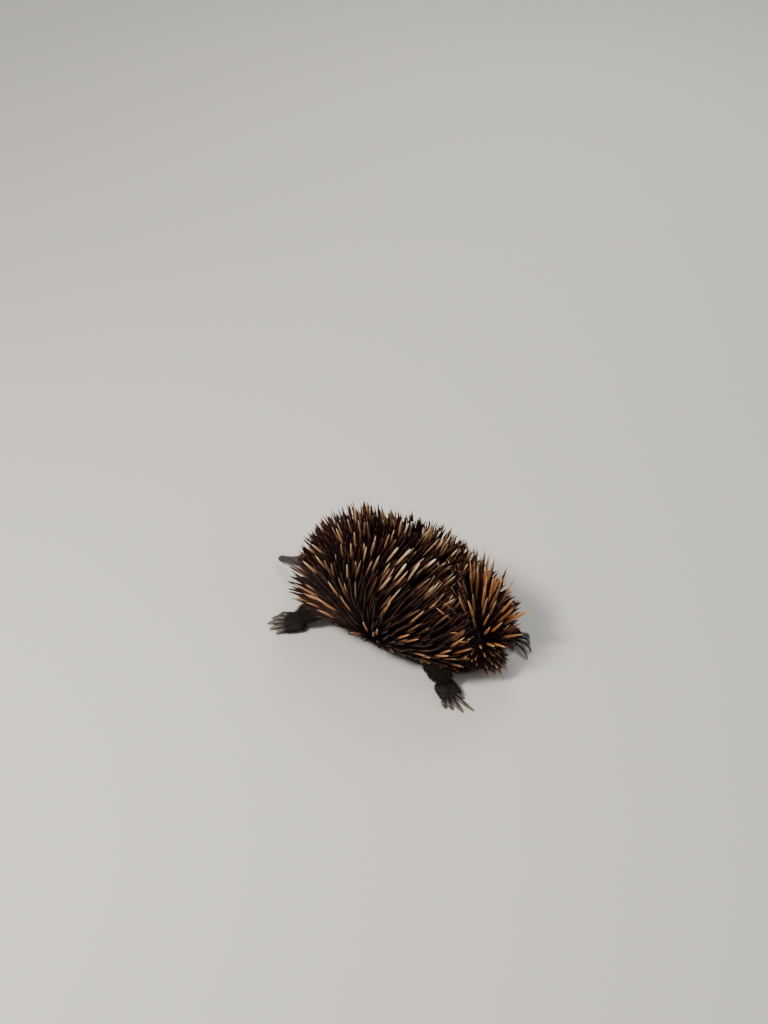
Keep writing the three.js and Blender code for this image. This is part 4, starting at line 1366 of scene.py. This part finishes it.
def sown(piece, weight, count):
    """Roots strewn over a piece: triangles drawn by area times the weight of their middles, and a
    random place in each. Gives places, normals and places on the unwrap."""
    mesh = piece.data
    mesh.calc_loop_triangles()
    corners = values_of(mesh.loop_triangles, "vertices", 3, np.int32)
    loops = values_of(mesh.loop_triangles, "loops", 3, np.int32)
    points, normals = points_of(mesh), points_of(mesh, "normal")
    uv = values_of(mesh.uv_layers["hide"].data, "uv", 2)
    a, b, c = (points[corners[:, k]] for k in range(3))
    area = np.linalg.norm(np.cross(b - a, c - a), axis=1) * weight((a + b + c) / 3)
    run = np.cumsum(area)
    pick = np.searchsorted(run, rng.random(count) * run[-1])
    share = np.sqrt(rng.random(count))
    split = rng.random(count)
    parts = np.stack([1 - share, share * (1 - split), share * split], -1)[..., None]
    return (
        (points[corners[pick]] * parts).sum(1),
        unit((normals[corners[pick]] * parts).sum(1)),
        (uv[loops[pick]] * parts).sum(1),
    )


def limb_lie(p):
    """For each point: how near it is to the nearest leg or foot, as a distance from its middle line
    in shares of its thickness there, and the way that limb runs."""
    nearest = np.full(len(p), np.inf)
    runs = np.zeros_like(p)
    for side, leg, foot, _ in LEGS:
        for path, widths, _ in (leg, foot):
            steps = np.linspace(0, 1, len(path))
            places = np.linspace(0, 1, LIMB_STATIONS)
            middle_line = along_line(steps, [mirrored(q, side) for q in path], places)
            widths_here = along_line(np.linspace(0, 1, len(widths)), widths, places)[:, 0]
            run = unit(np.gradient(middle_line, axis=0))
            away = np.linalg.norm(p[:, None] - middle_line, axis=-1) / widths_here
            best = away.argmin(1)
            least = away[np.arange(len(p)), best]
            closer = least < nearest
            nearest[closer] = least[closer]
            runs[closer] = run[best[closer]]
    return nearest, runs


def trunk_place(p):
    """The nearest s and a on the trunk for points on or near it."""
    s = np.clip((p[:, 0] - TRUNK_MIDDLE_X) / TRUNK_HALF_LENGTH, -0.97, 0.97)
    return s, np.arctan2(p[:, 1] / TRUNK_HALF_WIDTH, (p[:, 2] - trunk_middle(s)) / RIDGE_RISE)


def out_of_eyes(p):
    """0 on the eyes, in the ears, and on bare skin; 1 elsewhere."""
    keep = 1 - bareness(p)
    for side in (LEFT, RIGHT):
        keep = keep * (np.linalg.norm(p - mirrored(EYE_PLACE, side), axis=1) > FUR_FREE_EYE)
        ring, off = ear_place(p, side)
        keep = keep * ~((ring < FUR_FREE_EAR) & (np.linalg.norm(off, axis=1) < EAR_REACH))
    return keep


def on_head(p):
    """1 on the head, ahead of the trunk, to 0 behind."""
    return eased(*ONTO_HEAD, p[:, 0]) * (np.abs(p[:, 1]) < HEAD_HALF_WIDTH)


def on_limb(p):
    """1 on the legs and feet to 0 off them."""
    nearest, _ = limb_lie(p)
    return eased(*ONTO_LIMB, nearest) * (1 - on_head(p))


def on_belly(p):
    """1 on the trunk low by the floor to 0 on the flanks."""
    return eased(*ONTO_BELLY, p[:, 2]) * (1 - on_limb(p)) * (1 - on_head(p))


def on_back(p):
    """What is left of the skin: the back, the flanks and the tail."""
    return (1 - on_belly(p)) * (1 - on_limb(p)) * (1 - on_head(p))


def fur(name, look, where, count, length_of, way_of, radius, steps, swell, parts=1):
    """Sows tufts over one region of the skin and grows them as one piece, as two that are parted
    behind the shoulders, or as four that are parted along the ridge too."""
    at, normal, chart = sown(skin, lambda p: where(p) * out_of_eyes(p), count)
    length = length_of(at) * rng.uniform(*FUR_LENGTHS, len(at))
    way = raised(scattered(way_of(at, normal), FUR_SCATTER), normal, FUR_FLATTEST)
    bend = -normal * FUR_DROOP + rng.normal(0, FUR_CURL, at.shape)
    part = (at[:, 0] > 0) * (parts > 1) + (at[:, 1] > 0) * 2 * (parts > 2)
    for number in range(parts):
        mine = part == number
        piece = strands(
            name if parts == 1 else f"{name}_{number + 1}", at[mine], way[mine], length[mine],
            radius * rng.uniform(*FUR_THICKNESSES, mine.sum()), bend[mine], chart[mine], steps, swell,
            FUR_SIDES, rng.random(mine.sum()))
        points = points_of(piece.data)
        points[:, 2] = np.maximum(points[:, 2], CLEARANCE)
        put_points(piece.data, points)
        piece.data.materials.append(look)


def laid(direction, normal):
    """A direction laid down onto the skin."""
    return unit(direction - normal * (direction * normal).sum(1)[:, None])


def back_way(p, normal):
    """The fur of the back lies with the spines, a little further back."""
    return unit(spine_way(p, *trunk_place(p)) + BACK_FUR_FURTHER * laid(STRAIGHT_BACK, normal))


def face_way(p, normal):
    """On the face it lies back from the beak."""
    return leaned(normal, laid(FACE_FUR_RUN, normal), SHORT_FUR_LEAN)


def limb_way(p, normal):
    """On a leg or foot it lies the way the limb runs."""
    _, runs = limb_lie(p)
    return leaned(normal, laid(runs, normal), SHORT_FUR_LEAN)


def belly_way(p, normal):
    """Low on the trunk it lies back and down."""
    return leaned(normal, laid(BELLY_FUR_RUN, normal), BELLY_FUR_LEAN)


def back_fur_length(p):
    """Full length on the back, three fifths of it low on the flanks and by the face."""
    up, behind = eased(*ABOVE_FLOOR, p[:, 2]), eased(*BEHIND_FACE, p[:, 0])
    return BACK_FUR_LENGTH * (0.6 + 0.4 * up) * (0.6 + 0.4 * behind)


def face_fur_length(p):
    """Shortest at the root of the beak, longer towards the neck."""
    return FACE_FUR_SHORTEST + FACE_FUR_LONGER * eased(*ONTO_NECK_FUR, p[:, 0])


def limb_fur_length(p):
    """Short on the feet, longer up the legs."""
    return LIMB_FUR_SHORTEST + LIMB_FUR_LONGER * eased(*UP_THE_LEG, p[:, 2])


def belly_fur_length(p):
    """Even all over."""
    return np.full(len(p), BELLY_FUR_LENGTH)


unwrap(skin)
BACK_FUR_LOOK = strand_material("back_fur", FUR_TONES, 0.3, 0.8, 0.5, 0.5, 0.35)
FACE_FUR_LOOK = strand_material("face_fur", FACE_TONES, 0.3, 0.75, 0.5, 0.6, 0.3)
LIMB_FUR_LOOK = strand_material("limb_fur", LIMB_TONES, 0.3, 0.75, 0.7, 0.6, 0.3)
fur("back_fur", BACK_FUR_LOOK, on_back, BACK_TUFTS, back_fur_length, back_way,
    BACK_FUR_RADIUS, FUR_STEPS, FUR_SWELL, 4)
fur("face_fur", FACE_FUR_LOOK, on_head, FACE_TUFTS, face_fur_length, face_way,
    FACE_FUR_RADIUS, SHORT_FUR_STEPS, SHORT_FUR_SWELL)
fur("limb_fur", LIMB_FUR_LOOK, on_limb, LEG_TUFTS, limb_fur_length, limb_way,
    LIMB_FUR_RADIUS, SHORT_FUR_STEPS, SHORT_FUR_SWELL, 2)
fur("belly_fur", LIMB_FUR_LOOK, on_belly, BELLY_TUFTS, belly_fur_length, belly_way,
    BELLY_FUR_RADIUS, SHORT_FUR_STEPS, SHORT_FUR_SWELL)
